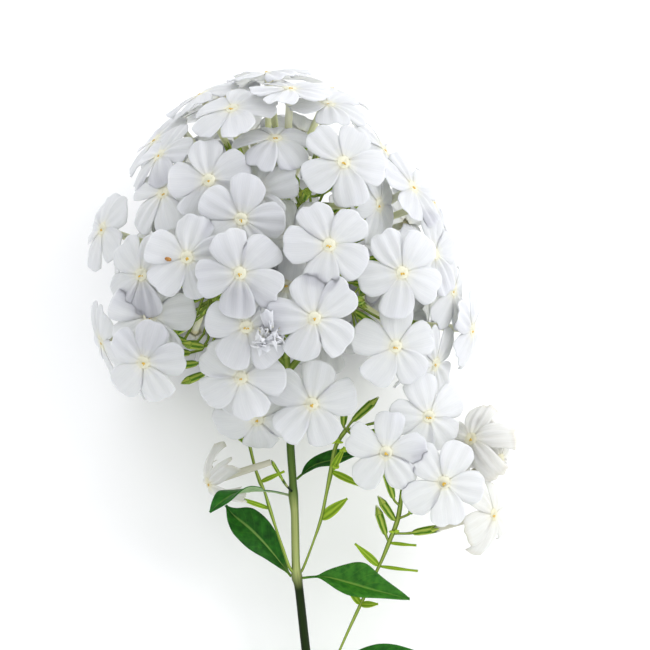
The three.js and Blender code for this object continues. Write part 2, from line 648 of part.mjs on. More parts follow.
function headStalks() {
  const radii = AXIS_LINE.map(({ radius }) => radius);
  const axis = sweep(AXIS_LINE.map(({ h }) => axisAt(h)), radii, AXIS_SIDES);
  const branches = forks.map((fork, k) => {
    const foot = axisAt(THREE.MathUtils.clamp(fork.h - BRANCH_RISE, BRANCH_LOWEST, BRANCH_HIGHEST));
    return sweep([foot, hubs[k]], [BRANCH_RADIUS, BRANCH_END_RADIUS], BRANCH_SIDES);
  });
  const knobs = hubs.map((hub) => {
    const ends = [hub.clone(), hub.clone(), hub.clone()];
    ends[0].z -= HUB_RADIUS;
    ends[2].z += HUB_RADIUS;
    return sweep(ends, [HUB_TIP, HUB_RADIUS, HUB_TIP], BRANCH_SIDES);
  });
  const buds = HEAD_BUDS.map((bud) => {
    const depth = Math.sqrt(1 - bud.right ** 2 - bud.up ** 2);
    return headStalk(layDown(bud.x, bud.h, bud.d), layDirection(bud.right, bud.up, depth));
  });
  return [axis, ...branches, ...knobs, ...buds];
}

// Side stems with their calyces, buds and bracts

const lay = ([x, h, d]) => layDown(x, h, d);

function stalkOf(name, sides) {
  const line = STEM_LINES[name];
  const parts = [sweep(line.map(lay), line.map((joint) => joint[3]), sides)];
  for (const { throat, tubeEnd, calyxBase, root, on } of SIDE_LIST) {
    if (on !== name) continue;
    const facing = lay(throat).sub(lay(tubeEnd)).normalize();
    const mouth = lay(tubeEnd).addScaledVector(facing, -GAP);
    parts.push(stalk(lay(root), lay(calyxBase), mouth, facing));
  }
  for (const { base, mouth, on } of SIDE_BUDS) {
    if (on !== name) continue;
    const [foot, tip] = [lay(base), lay(mouth)];
    const joints = line.map(lay);
    const root = joints.reduce((best, one) => (one.distanceTo(foot) < best.distanceTo(foot) ? one : best));
    parts.push(stalk(root, foot, tip, tip.clone().sub(foot).normalize()));
  }
  for (const { root, tip, half, on } of BRACTS) {
    if (on !== name) continue;
    const middle = root.map((value, i) => (value + tip[i]) / 2);
    middle[2] += BRACT_ARCH;
    parts.push(blade({
      spine: [root, middle, tip].map(lay),
      half,
      front: layDirection(...BRACT_FRONT),
      foldDeg: BRACT_FOLD_DEG,
      stations: BRACT_STATIONS,
      fullest: BRACT_FULLEST,
    }));
  }
  return whole(union(parts));
}

function leaf(entry) {
  return blade({
    foldDeg: LEAF_FOLD_DEG,
    fullest: LEAF_FULLEST,
    stations: LEAF_STATIONS,
    ...entry,
    spine: entry.spine.map(lay),
    front: layDirection(...entry.front),
    tipFront: layDirection(...(entry.tipFront ?? entry.front)),
  });
}

const sideStems = Object.keys(STEM_LINES).map((name) => ({
  name,
  shape: stalkOf(name, name === "stem" ? STEM_SIDES : SIDE_STEM_SIDES),
}));
const sideFlorets = SIDE_LIST.map((entry) => {
  const [x, h, d] = entry.throat;
  return { ...entry, shape: corolla(poseOf(listed({ ...entry, x, h, d })), 0) };
});

// Each floret goes to the first level along its own axis at which it is clear of all
// others, or crosses just one small group, which it then grows together with.

const greens = [...headStalks(), ...sideStems.map((stem) => stem.shape)];
const cymes = sideFlorets.map(({ shape }) => ({ shape, florets: CYME_FLORETS }));

function near(a, b) {
  const p = a.boundingBox();
  const q = b.boundingBox();
  return [0, 1, 2].every((i) => p.min[i] <= q.max[i] && q.min[i] <= p.max[i]);
}

function crossing(a, b) {
  return near(a, b) ? a.intersect(b).volume() : 0;
}

function tryLevel(pose, level) {
  const shape = corolla(pose, level);
  if (shape.boundingBox().min[2] < -SURFACE_SLACK) return null;
  const wide = corolla(pose, level, CLEARANCE);
  const mouth = pose.at.clone().addScaledVector(pose.facing, level - FLORET_DEPTH);
  const green = headStalk(mouth, pose.facing);
  if (green.boundingBox().min[2] < 0) return null;
  if (greens.some((other) => crossing(wide, other) > 0)) return null;
  if (cymes.some((cyme) => crossing(green, cyme.shape) > 0)) return null;
  const touched = cymes.filter((cyme) => crossing(wide, cyme.shape) > 0);
  if (touched.length === 0) return { shape, green, joins: null, cost: FREE_COST };
  const [cyme] = touched;
  const holds =
    touched.length === 1 &&
    cyme.florets < CYME_FLORETS &&
    crossing(shape, cyme.shape) > CROSSING_LEAST;
  if (!holds) return null;
  const joined = cyme.shape.add(shape);
  const cost = joined.numTri() - cyme.shape.numTri() - shape.numTri();
  return { shape: joined, green, joins: cyme, cost };
}

function plant(place, stepCost) {
  const pose = poseOf(place);
  let best = null;
  for (const step of LEVEL_STEPS) {
    const found = tryLevel(pose, step);
    if (!found) continue;
    found.cost += stepCost * Math.abs(step);
    if (!best || found.cost < best.cost) best = found;
  }
  if (!best) return;
  greens.push(best.green);
  if (best.joins) {
    best.joins.shape = best.shape;
    best.joins.florets += 1;
  } else {
    cymes.push({ shape: best.shape, florets: 1 });
  }
}

front.forEach((place) => plant(place, LIST_STEP_COST));
rest.forEach((place) => plant(place, STEP_COST));

const group = new THREE.Group();
for (const { name, shape } of sideStems) group.add(meshOf(name, shape, FINISH.stem));
const grown = greens.filter((shape) => sideStems.every((stem) => stem.shape !== shape));
group.add(meshOf("head_stalks", whole(union(grown)), FINISH.calyx));
for (const entry of LEAVES) group.add(meshOf(entry.name, leaf(entry), FINISH.leaf));
cymes.slice(SIDE_LIST.length).forEach((cyme, k) => {
  group.add(meshOf(`florets_${String(k + 1).padStart(2, "0")}`, cyme.shape, FINISH.fresh));
});
for (const node of new Set(SIDE_LIST.map((entry) => entry.node))) {
  const members = sideFlorets.filter((entry) => entry.node === node);
  const finish = members[0].faded ? FINISH.faded : FINISH.fresh;
  group.add(meshOf(node, union(members.map((entry) => entry.shape)), finish));
}
group.position.set(-CENTRE_X, -CENTRE_Y, 0);

export default group;
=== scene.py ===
# %% [markdown]
# # A cut stem of white garden phlox
#
# The real flower head is a dome of small florets. Each floret is one thin white petal
# sheet of five lobes on a slender tube, which stands in a green calyx on its own stalk.
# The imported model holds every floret, stem and leaf at its real size and place, with few
# faces. This script keeps those places and makes each piece again with a fine surface.

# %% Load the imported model
import math
import random

import bmesh
import bpy
from mathutils import Matrix, Vector
from mathutils.bvhtree import BVHTree


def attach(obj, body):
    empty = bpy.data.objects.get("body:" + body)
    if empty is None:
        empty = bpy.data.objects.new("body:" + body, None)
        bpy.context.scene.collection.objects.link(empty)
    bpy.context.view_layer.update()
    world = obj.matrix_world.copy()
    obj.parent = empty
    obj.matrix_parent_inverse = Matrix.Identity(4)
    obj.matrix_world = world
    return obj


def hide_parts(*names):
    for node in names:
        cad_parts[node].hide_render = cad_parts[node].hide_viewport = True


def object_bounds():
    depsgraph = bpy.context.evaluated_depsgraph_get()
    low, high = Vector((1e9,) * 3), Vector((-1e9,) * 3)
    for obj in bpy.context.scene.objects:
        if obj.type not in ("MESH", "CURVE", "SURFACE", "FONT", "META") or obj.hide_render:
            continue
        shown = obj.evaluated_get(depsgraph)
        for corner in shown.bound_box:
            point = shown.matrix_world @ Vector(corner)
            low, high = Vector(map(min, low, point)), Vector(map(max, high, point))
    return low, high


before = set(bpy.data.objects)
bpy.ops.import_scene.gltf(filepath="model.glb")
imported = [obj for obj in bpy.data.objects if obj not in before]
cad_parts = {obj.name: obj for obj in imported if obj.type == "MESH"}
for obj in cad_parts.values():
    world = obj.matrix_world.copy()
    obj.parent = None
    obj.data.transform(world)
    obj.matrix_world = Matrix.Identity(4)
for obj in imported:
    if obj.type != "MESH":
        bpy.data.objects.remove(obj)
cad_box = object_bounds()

print("nodes", len(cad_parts), "box", [round(v, 4) for v in (*cad_box[0], *cad_box[1])])

# %% [markdown]
# ## One frame for the plant as it grew
#
# It is easier to think of the plant upright: x to the right, h up the stem and d towards
# the viewer. `lay` turns such a point onto the table, where the head rests on its back
# and the stem slopes down to its cut end. The numbers are millimetres until a finished
# mesh is scaled to metres.

# %% The plant's frame
MM = 0.001
LEAN = math.radians(15)
STEM_CUT_RADIUS = 1.7
CENTRE = Vector((-0.97, 125.52, 0.0))


def turn(x, h, d):
    """A direction of the upright plant, as it lies on the table."""
    return Vector((
        x,
        h * math.cos(LEAN) - d * math.sin(LEAN),
        h * math.sin(LEAN) + d * math.cos(LEAN),
    ))


def lay(point):
    """A point [x, h, d] of the upright plant, as it lies on the table."""
    laid = turn(point[0], point[1], point[2]) - CENTRE
    laid.z += STEM_CUT_RADIUS * math.cos(LEAN)
    return laid


def basis_of(x_axis, y_axis, z_axis):
    """A matrix that turns the three axes to these directions."""
    return Matrix((x_axis, y_axis, z_axis)).transposed().to_4x4()


print("the stem rises", round(math.degrees(LEAN)), "degrees from the table")

# %% [markdown]
# ## The camera
#
# The photo looks straight at the upright plant. The plant lies down here, so the camera
# looks down on it, square to the stem. The photo shows 0.335 mm in each of its 650
# pixels at the depth of the stem, which sets the field of view.

# %% Camera
PHOTO_PIXELS = 650
MM_PER_PIXEL = 0.335
CAMERA_DISTANCE = 900.0
VIEW_CENTRE = (8.4, 169.2, 0.0)

camera_data = bpy.data.cameras.new("camera")
camera_data.sensor_width = 36.0
camera_data.lens = camera_data.sensor_width * CAMERA_DISTANCE / (PHOTO_PIXELS * MM_PER_PIXEL)
camera = bpy.data.objects.new("camera", camera_data)
bpy.context.scene.collection.objects.link(camera)
right, up, back = turn(1, 0, 0), turn(0, 1, 0), turn(0, 0, 1)
spot = (lay(VIEW_CENTRE) + back * CAMERA_DISTANCE) * MM
camera.matrix_world = Matrix.Translation(spot) @ basis_of(right, up, back)
bpy.context.scene.camera = camera
print("lens", round(camera_data.lens, 1), "mm")

# %% [markdown]
# ## A pale floor
#
# The plant lies on a plain white sheet with no edge in sight. One large face is enough.
# A floor that is nearly white keeps the picture light and throws light back up between
# the petals.

# %% Floor
FLOOR_SIZE = 6.0
FLOOR_WHITE = (0.98, 0.98, 0.98, 1)

floor_mesh = bpy.data.meshes.new("floor")
bm = bmesh.new()
bmesh.ops.create_grid(bm, x_segments=1, y_segments=1, size=FLOOR_SIZE / 2)
bm.to_mesh(floor_mesh)
bm.free()
floor = bpy.data.objects.new("floor", floor_mesh)
bpy.context.scene.collection.objects.link(floor)
floor_material = bpy.data.materials.new("pale_floor")
floor_material.use_nodes = True
floor_shader = floor_material.node_tree.nodes["Principled BSDF"]
floor_shader.inputs["Base Color"].default_value = FLOOR_WHITE
floor_shader.inputs["Roughness"].default_value = 0.9
floor_mesh.materials.append(floor_material)
print("floor", FLOOR_SIZE, "m wide")

# %% [markdown]
# ## Soft light
#
# White petals lose their shape when light comes from everywhere alike. A bright, even
# world keeps the shadows soft. One wide lamp low on the right picks out the folds and
# leaves the left side of the head a cool grey, as in the photo. A weaker lamp beyond the
# top of the head lifts the uppermost petals. The plain Standard view keeps white things
# white.

# %% World and lamps
WORLD_COLOR = (0.97, 0.98, 1.0, 1)
WORLD_STRENGTH = 1.1
HEAD = Vector((-5.7, 186.0, 0.0))

world = bpy.data.worlds.new("studio")
world.use_nodes = True
background = world.node_tree.nodes["Background"]
background.inputs["Color"].default_value = WORLD_COLOR
background.inputs["Strength"].default_value = WORLD_STRENGTH
bpy.context.scene.world = world
bpy.context.scene.view_settings.view_transform = "Standard"


def add_lamp(name, place, size, watts):
    """A square area lamp in metres, turned towards the middle of the head."""
    data = bpy.data.lights.new(name, "AREA")
    data.size = size
    data.energy = watts
    lamp = bpy.data.objects.new(name, data)
    lamp.location = place
    lamp.rotation_euler = (lay(HEAD) * MM - Vector(place)).to_track_quat("-Z", "Y").to_euler()
    bpy.context.scene.collection.objects.link(lamp)
    print(name, "lamp of", watts, "W")


add_lamp("key", (1.15, 0.3, 0.8), 1.0, 11)
add_lamp("rim", (-0.1, 1.3, 0.7), 0.8, 3)

# %% [markdown]
# ## Where every floret is
#
# The head is a dome, a little wider than tall, with a slim shoulder and a top that nods
# to the left. The florets that face the viewer were placed one by one, from the photo.
# The others follow a rule: points spread evenly over the dome by the golden angle, as
# many plants space their flowers. These lists and the rule are those of the packed
# model, so each floret here finds its own solid there.

# %% Sizes of the head and its florets
HEAD_WIDE = 58.5  # from the middle of the dome to its side
HEAD_UP = 68  # and to its top
HEAD_DOWN = 55  # and to its underside
HEAD_EDGE_DEG = 128  # the dome ends this far round from its top
HEAD_FLORETS = 88  # evenly spread places, before those of the front are left out
HEAD_NOD = 6.3  # how far the top hangs to the left
NOD_FROM = 205
NOD_TO = 235
SHOULDER_SLIM = 0.14  # the share of the width that the shoulder loses
SHOULDER_AT = 0.93
SHOULDER_SPREAD = 0.27
TURN_TO_LIGHT = 0.3
FLORET_SPACING = 18.5
SPIN_SHARE = 0.618
LOBES = 5
LOBE_REACH = 14.8
TUBE_LENGTH = 20
CALYX_LENGTH = 8
GAP = 0.3
print("the dome is", 2 * HEAD_WIDE, "mm wide and", HEAD_UP + HEAD_DOWN, "mm tall between throats")

# %% Florets listed one by one: x, h, share of the facing right and up, one lobe's direction
HEAD_LIST = [
    dict(x=-49.6, h=157.2, d=40.5, right=-0.35, up=-0.2, spin=4),
    dict(x=-45.7, h=224.6, d=24, right=-0.635, up=0.635, spin=20),
    dict(x=-10.8, h=253, right=-0.15, up=0.98, spin=-49),
    dict(x=-33.5, h=247.3, d=8, right=-0.452, up=0.875, spin=0),
    dict(x=-65.5, h=201, d=10, right=-0.8, up=0.25, spin=180),
    dict(x=-66, h=163.5, d=8, right=-0.9, up=-0.3, spin=-50, curl=2),
    dict(x=9.7, h=194.4, right=0.12, up=0.02, spin=41),
    dict(x=26, h=208, d=33, right=0.85, up=0, spin=50),
    dict(x=5.1, h=171.4, right=0.05, up=-0.05, spin=35),
    dict(x=-18.5, h=185.5, right=-0.08, up=0, spin=45),
    dict(x=-35.3, h=190.6, right=-0.15, up=0.02, spin=10),
    dict(x=-28.7, h=215.4, right=-0.12, up=0.2, spin=31),
    dict(x=33, h=185.9, right=0.3, up=0.02, spin=50),
    dict(x=31.1, h=162.3, right=0.3, up=-0.1, spin=20),
    dict(x=-18.4, h=152.4, right=-0.08, up=-0.1, spin=-2),
    dict(x=4.2, h=143.9, right=0.05, up=-0.1, spin=5),
    dict(x=-50.6, h=185.3, right=-0.45, up=0.05, spin=65),
    dict(x=-44.5, h=212.5, d=36, right=-0.5, up=0.5, spin=-80, curl=3),
    dict(x=-21.7, h=239.2, right=-0.25, up=0.75, spin=10),
    dict(x=-7.6, h=230.5, right=0, up=0.8, spin=12, curl=4),
    dict(x=-3, h=243, right=0.05, up=0.93, spin=15),
    dict(x=13.1, h=219.5, right=0.2, up=0.25, spin=64),
    dict(x=9.4, h=241.4, right=0.2, up=0.87, spin=40),
    dict(x=28.2, h=227.6, right=0.8, up=0.53, spin=20),
    dict(x=36, h=213.6, right=0.75, up=0.45, spin=20),
    dict(x=45.2, h=192.8, right=0.75, up=0.2, spin=15),
    dict(x=50.9, h=180.6, right=0.88, up=0, spin=30),
    dict(x=57.5, h=167.5, d=6, right=0.93, up=-0.1, spin=25),
    dict(x=46, h=156, d=18, right=0.8, up=-0.25, spin=50),
    dict(x=-46.5, h=171.5, d=32, right=-0.25, up=0.1, spin=8),
    dict(x=-16.4, h=168.6, d=53, right=-0.1, up=-0.1, spin=20),
    dict(x=-14.9, h=212.4, d=44, right=-0.45, up=0.15, spin=25),
    dict(x=-18.2, h=202.7, d=51, right=0, up=0, spin=0),
    dict(x=-2, h=197, d=40, right=-0.25, up=0.15, spin=46),
    dict(x=-4, h=182, d=40, right=0, up=0, spin=46, wilt=0.6),
]
print("placed by hand", len(HEAD_LIST))

# %% The shape of the dome
def smoothstep(value, low, high):
    t = min(max((value - low) / (high - low), 0), 1)
    return t * t * (3 - 2 * t)


def middle_at(h):
    """The top of the head hangs over to the left."""
    return HEAD.x - HEAD_NOD * smoothstep(h, NOD_FROM, NOD_TO)


def wide_at(polar):
    """Half the head's width, with its slimmer shoulder."""
    return HEAD_WIDE * (1 - SHOULDER_SLIM * math.exp(-(((polar - SHOULDER_AT) / SHOULDER_SPREAD) ** 2)))


def dome_point(polar, azimuth, share=1.0):
    """A place on the dome and the way it faces."""
    up_axis = HEAD_UP if math.cos(polar) > 0 else HEAD_DOWN
    flat = wide_at(polar) * math.sin(polar) * share
    rise = up_axis * math.cos(polar) * share
    side, depth = flat * math.cos(azimuth), flat * math.sin(azimuth)
    h = HEAD.y + rise
    normal = Vector((side / HEAD_WIDE**2, rise / up_axis**2, depth / HEAD_WIDE**2)).normalized()
    return dict(at=Vector((middle_at(h) + side, h, depth)), facing=normal)


def dome_depth(x, h):
    """How far towards the viewer the dome is at a place."""
    rise = h - HEAD.y
    cosine = min(max(rise / (HEAD_UP if rise > 0 else HEAD_DOWN), -1), 1)
    polar = math.acos(cosine)
    flat = wide_at(polar) * math.sin(polar)
    return math.sqrt(max(flat**2 - (x - middle_at(h)) ** 2, 0))


print("the dome's front is", round(dome_depth(HEAD.x, HEAD.y), 1), "mm before the stem")

# %% Places on the dome
def turned(facing):
    """Florets round the rim turn a little to the side that shows."""
    toward = TURN_TO_LIGHT * (1 - facing.z**2)
    return Vector((facing.x, facing.y, facing.z + toward)).normalized()


def spread(count, edge_deg, share):
    """Evenly spread places on the dome, from its top down to its edge."""
    edge = 1 - math.cos(math.radians(edge_deg))
    golden = math.pi * (3 - math.sqrt(5))
    return [
        dome_point(math.acos(1 - edge * (k + 0.5) / count), k * golden, share)
        for k in range(count)
    ]


def facing_of(entry):
    """The whole direction, from its shares right and up."""
    depth = math.sqrt(1 - entry["right"] ** 2 - entry["up"] ** 2)
    return Vector((entry["right"], entry["up"], depth))


def listed(entry):
    """A place by hand. Without a depth of its own it lies on the dome."""
    at = Vector((entry["x"], entry["h"], entry.get("d", dome_depth(entry["x"], entry["h"]))))
    return dict(entry, at=at, facing=facing_of(entry))


front = [listed(entry) for entry in HEAD_LIST]
spots = [
    spot
    for spot in spread(HEAD_FLORETS, HEAD_EDGE_DEG, 1)
    if all((spot["at"] - other["at"]).length > FLORET_SPACING for other in front)
]
rest = [
    dict(at=spot["at"], facing=turned(spot["facing"]), spin=360 * ((k * SPIN_SHARE) % 1))
    for k, spot in enumerate(spots)
]
print("places on the dome:", len(front), "by hand and", len(rest), "by the rule")

# %% [markdown]
# ## How each floret stands
#
# A pose holds the throat's place, the way the floret faces and where its first lobe
# points. A floret could be one mesh that is copied and turned, but then all would be
# alike, so each is made on its own pose. A floret close to the table has its lobes bent
# flat against it, because the head rests on them.

# %% Poses
def lobe_direction(facing, spin_deg):
    """The way one lobe points, square to the facing."""
    spin = math.radians(spin_deg)
    if facing.z > 0.3:
        away = -(facing.x * math.cos(spin) + facing.y * math.sin(spin)) / facing.z
        return Vector((math.cos(spin), math.sin(spin), away)).normalized()
    level = Vector((-facing.z, 0, facing.x))
    if level.length < 0.1:
        level = Vector((1, 0, 0))
    level = (level - facing * level.dot(facing)).normalized()
    return level * math.cos(spin) + facing.cross(level) * math.sin(spin)


def pose_of(place):
    """How a floret stands on the table."""
    lobe = lobe_direction(place["facing"], place["spin"])
    pose = dict(
        at=lay(place["at"]),
        facing=turn(*place["facing"]),
        lobe=turn(*lobe),
        curl=place.get("curl", 1.2),
        wilt=place.get("wilt", 0.0),
        crease=place.get("crease"),
        slim=place.get("slim", 1.0),
        small=place.get("small", 1.0),
    )
    pose["at"].z = max(pose["at"].z, 0)
    sine = min(pose["at"].z / LOBE_REACH, 1)
    facing = pose["facing"]
    slope = math.hypot(facing.x, facing.y)
    if facing.z < 0 and slope > sine:
        facing *= sine / slope
        facing.z = -math.sqrt(1 - sine * sine)
        pose["lobe"] = (pose["lobe"] - facing * pose["lobe"].dot(facing)).normalized()
        pose["curl"] = 0
    return pose


# %% [markdown]
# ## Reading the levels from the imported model
#
# Neighbouring florets stand at slightly different heights, so that their lobes overlap
# like tiles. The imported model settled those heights, in even steps. A ray sent up the
# middle of a tube from below meets the flat end of that tube, and its length tells how
# high the floret stands and in which node it is.

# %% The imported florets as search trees
petal_nodes = sorted(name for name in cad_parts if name.startswith("florets_"))
trees = {}
for name in petal_nodes:
    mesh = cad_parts[name].data
    corners = [v.co / MM for v in mesh.vertices]
    trees[name] = BVHTree.FromPolygons(corners, [p.vertices[:] for p in mesh.polygons])
print("nodes with florets", len(trees))

# %% Find each floret
RAY_START = 18.0
RAY_NUDGE = 0.01  # past the face that was just hit
LEVEL_STEP = 1.5
MOST_STEPS = 9  # no floret stands further from its place
STEP_SLACK = 0.05
FACES_BACK = -0.998  # the flat end of a tube looks straight back


def find_floret(pose):
    """The node that holds this floret, and how far it stands from its place on the dome."""
    start = pose["at"] - pose["facing"] * (TUBE_LENGTH + RAY_START)
    for name, tree in trees.items():
        reached = 0.0
        while reached < 2 * RAY_START:
            hit, normal, _, length = tree.ray_cast(start + pose["facing"] * reached, pose["facing"])
            if hit is None:
                break
            reached += length + RAY_NUDGE
            level = reached - RAY_NUDGE - RAY_START
            steps = level / LEVEL_STEP
            on_step = abs(steps - round(steps)) < STEP_SLACK and abs(steps) < MOST_STEPS
            if on_step and normal.dot(pose["facing"]) < FACES_BACK:
                return name, level
    return None, 0.0


groups = {name: [] for name in petal_nodes}
for place in front + rest:
    pose = pose_of(place)
    name, level = find_floret(pose)
    if name:
        pose["at"] = pose["at"] + pose["facing"] * level
        groups[name].append(pose)
    else:
        print("no floret found at", [round(v) for v in place["at"]])
print("found", sum(len(group) for group in groups.values()), "florets in", len(groups), "nodes")
empty = [name for name, group in groups.items() if not group]
print("nodes without a floret:", empty)

# %% [markdown]
# ## Materials
#
# All of them are procedural. Petals, stalks and leaves carry a UV map that runs along the
# piece and across or round it, so veins, ribs and the cream throat follow the shape. A
# few small helpers add the nodes and link them, so that each material below reads as a
# short recipe.

# %% Material helpers
def new_material(name, roughness, **constants):
    """A material and its Principled shader, with constant values on the shader's own sockets."""
    material = bpy.data.materials.new(name)
    material.use_nodes = True
    shader = material.node_tree.nodes["Principled BSDF"]
    shader.inputs["Roughness"].default_value = roughness
    for socket, value in constants.items():
        shader.inputs[socket.replace("_", " ")].default_value = value
    return material, shader


def add_node(material, kind, **settings):
    node = material.node_tree.nodes.new(kind)
    for key, value in settings.items():
        if key in node.inputs:
            node.inputs[key].default_value = value
        else:
            setattr(node, key, value)
    return node


def link(material, source, target):
    material.node_tree.links.new(source, target)


def ramp(material, factor, stops):
    """A colour ramp over a factor, from a list of (position, colour)."""
    node = add_node(material, "ShaderNodeValToRGB")
    elements = node.color_ramp.elements
    while len(elements) < len(stops):
        elements.new(0.5)
    for element, (position, color) in zip(elements, stops):
        element.position = position
        element.color = (*color, 1)
    link(material, factor, node.inputs["Fac"])
    return node.outputs["Color"]


def uv_axes(material):
    """The two coordinates of the piece's own UV map."""
    uv = add_node(material, "ShaderNodeUVMap", uv_map="shape")
    split = add_node(material, "ShaderNodeSeparateXYZ")
    link(material, uv.outputs["UV"], split.inputs["Vector"])
    return uv.outputs["UV"], split.outputs["X"], split.outputs["Y"]


def stretched_noise(material, uv, scale, detail=3.0):
    """Noise drawn out along the first UV axis, for fibres and veins."""
    mapping = add_node(material, "ShaderNodeMapping")
    mapping.inputs["Scale"].default_value = scale
    link(material, uv, mapping.inputs["Vector"])
    noise = add_node(material, "ShaderNodeTexNoise", Scale=1.0, Detail=detail)
    link(material, mapping.outputs["Vector"], noise.inputs["Vector"])
    return noise.outputs["Fac"]


def mix_color(material, factor, first, second, blend="MIX"):
    """A Mix node for colours. Input 0 is its factor, inputs 6 and 7 are the two colours."""
    node = add_node(material, "ShaderNodeMix", data_type="RGBA", blend_type=blend)
    for socket, value in ((0, factor), (6, first), (7, second)):
        if isinstance(value, bpy.types.NodeSocket):
            link(material, value, node.inputs[socket])
        elif socket == 0:
            node.inputs[0].default_value = value
        else:
            node.inputs[socket].default_value = (*value, 1)
    return node.outputs[2]


def calculate(material, operation, *values):
    """A Math node that works on other nodes' results or on plain numbers."""
    node = add_node(material, "ShaderNodeMath", operation=operation)
    for socket, value in zip(node.inputs, values):
        if isinstance(value, bpy.types.NodeSocket):
            link(material, value, socket)
        else:
            socket.default_value = value
    return node.outputs[0]


def object_noise(material, scale, detail):
    """Noise that stays fixed to the piece."""
    coordinates = add_node(material, "ShaderNodeTexCoord")
    noise = add_node(material, "ShaderNodeTexNoise", Scale=scale, Detail=detail)
    link(material, coordinates.outputs["Object"], noise.inputs["Vector"])
    return noise.outputs["Fac"]


def add_bump(material, shader, height, strength, distance):
    bump = add_node(material, "ShaderNodeBump", Strength=strength, Distance=distance)
    link(material, height, bump.inputs["Height"])
    link(material, bump.outputs["Normal"], shader.inputs["Normal"])


BLACK = (0, 0, 0)
WHITE = (1, 1, 1)

# %% [markdown]
# ### Petal white
#
# A petal is thin and full of air, so light passes into it and comes out soft. That is
# subsurface scattering over a few millimetres. The white is never pure: it is cream at
# the throat and faintly blue towards the tip, with fine veins along the lobe and a slow
# cloud over it. Noise drawn out along the UV gives veins that follow each lobe, however
# it bends. Faded petals turn warmer, and browner at the tip.

# %% Petal white
def petal_material(name, stops, vein_tint):
    material, shader = new_material(
        name, 0.6, Subsurface_Weight=0.75, Subsurface_Scale=0.003,
        Subsurface_Radius=(1.0, 1.0, 0.9), Specular_IOR_Level=0.25, Sheen_Weight=0.1,
    )
    uv, along, _ = uv_axes(material)
    base = ramp(material, along, stops)
    veins = stretched_noise(material, uv, (1.2, 26.0, 1.0))
    cloud = object_noise(material, 90.0, 2.0)
    vein_ramp = ramp(material, veins, [(0.42, vein_tint), (0.6, WHITE)])
    streaked = mix_color(material, 0.5, base, vein_ramp, "MULTIPLY")
    cloud_ramp = ramp(material, cloud, [(0.3, (0.95, 0.955, 0.965)), (0.7, WHITE)])
    final = mix_color(material, 0.6, streaked, cloud_ramp, "MULTIPLY")
    link(material, final, shader.inputs["Base Color"])
    add_bump(material, shader, veins, 0.25, 0.0003)
    return material


PETAL_STOPS = [
    (0.0, (0.82, 0.75, 0.42)),
    (0.05, (0.8, 0.77, 0.56)),
    (0.12, (0.7, 0.7, 0.63)),
    (0.3, (0.64, 0.65, 0.66)),
    (1.0, (0.635, 0.645, 0.675)),
]
FADED_STOPS = [
    (0.0, (0.76, 0.7, 0.44)),
    (0.08, (0.71, 0.69, 0.57)),
    (0.3, (0.64, 0.635, 0.595)),
    (0.85, (0.63, 0.63, 0.6)),
    (1.0, (0.55, 0.52, 0.44)),
]
petal_fresh = petal_material("petal_white", PETAL_STOPS, (0.9, 0.905, 0.925))
petal_faded = petal_material("petal_fading", FADED_STOPS, (0.86, 0.85, 0.8))
print(petal_fresh.name, "and", petal_faded.name)

# %% [markdown]
# ### Tubes and grains
#
# The tube of a floret is a paler, firmer tissue: cream at the throat and greenish where
# it meets the calyx. It is so narrow that deep scattering would turn it dark, so it has
# little. The anthers are dusty gold and the withered style is brown, both with a fine
# grain.

# %% Tubes and grains
def tube_material(name, stops):
    material, shader = new_material(
        name, 0.5, Subsurface_Weight=0.15, Subsurface_Scale=0.0005,
        Subsurface_Radius=(1.0, 0.95, 0.7), Specular_IOR_Level=0.3,
    )
    uv, along, _ = uv_axes(material)
    base = ramp(material, along, stops)
    fibre = stretched_noise(material, uv, (2.0, 18.0, 1.0))
    tinted = ramp(material, fibre, [(0.35, (0.9, 0.92, 0.8)), (0.65, WHITE)])
    link(material, mix_color(material, 0.6, base, tinted, "MULTIPLY"), shader.inputs["Base Color"])
    add_bump(material, shader, fibre, 0.2, 0.0002)
    return material


def grain_material(name, dark, light):
    material, shader = new_material(name, 0.7)
    grain = object_noise(material, 2500.0, 2.0)
    link(material, ramp(material, grain, [(0.3, dark), (0.7, light)]), shader.inputs["Base Color"])
    add_bump(material, shader, grain, 0.5, 0.0001)
    return material


tube_cream = tube_material("tube_cream", [
    (0.0, (0.76, 0.74, 0.6)),
    (0.08, (0.8, 0.74, 0.47)),
    (0.22, (0.84, 0.84, 0.7)),
    (0.6, (0.82, 0.82, 0.58)),
    (1.0, (0.7, 0.74, 0.36)),
])
tube_fading = tube_material("tube_fading", [
    (0.0, (0.72, 0.68, 0.5)),
    (0.22, (0.68, 0.66, 0.56)),
    (1.0, (0.6, 0.58, 0.48)),
])
anther_gold = grain_material("anther_gold", (0.48, 0.3, 0.03), (0.7, 0.48, 0.07))
withered_brown = grain_material("withered_brown", (0.16, 0.06, 0.01), (0.5, 0.24, 0.05))
print(tube_cream.name, tube_fading.name, anther_gold.name, withered_brown.name)

# %% [markdown]
# ### Green tissue
#
# Stems and calyces have ribs that run along them, lighter on the ridge and darker in the
# groove. A cosine of the UV that goes round the piece makes the ribs, and a noise drawn
# out along it adds fibres. The old main stem is nearly black below its second node, pale
# above it and darker again under the head, so it also has a shade along its length.

# %% Green tissue
RIB_SHARE = 0.3


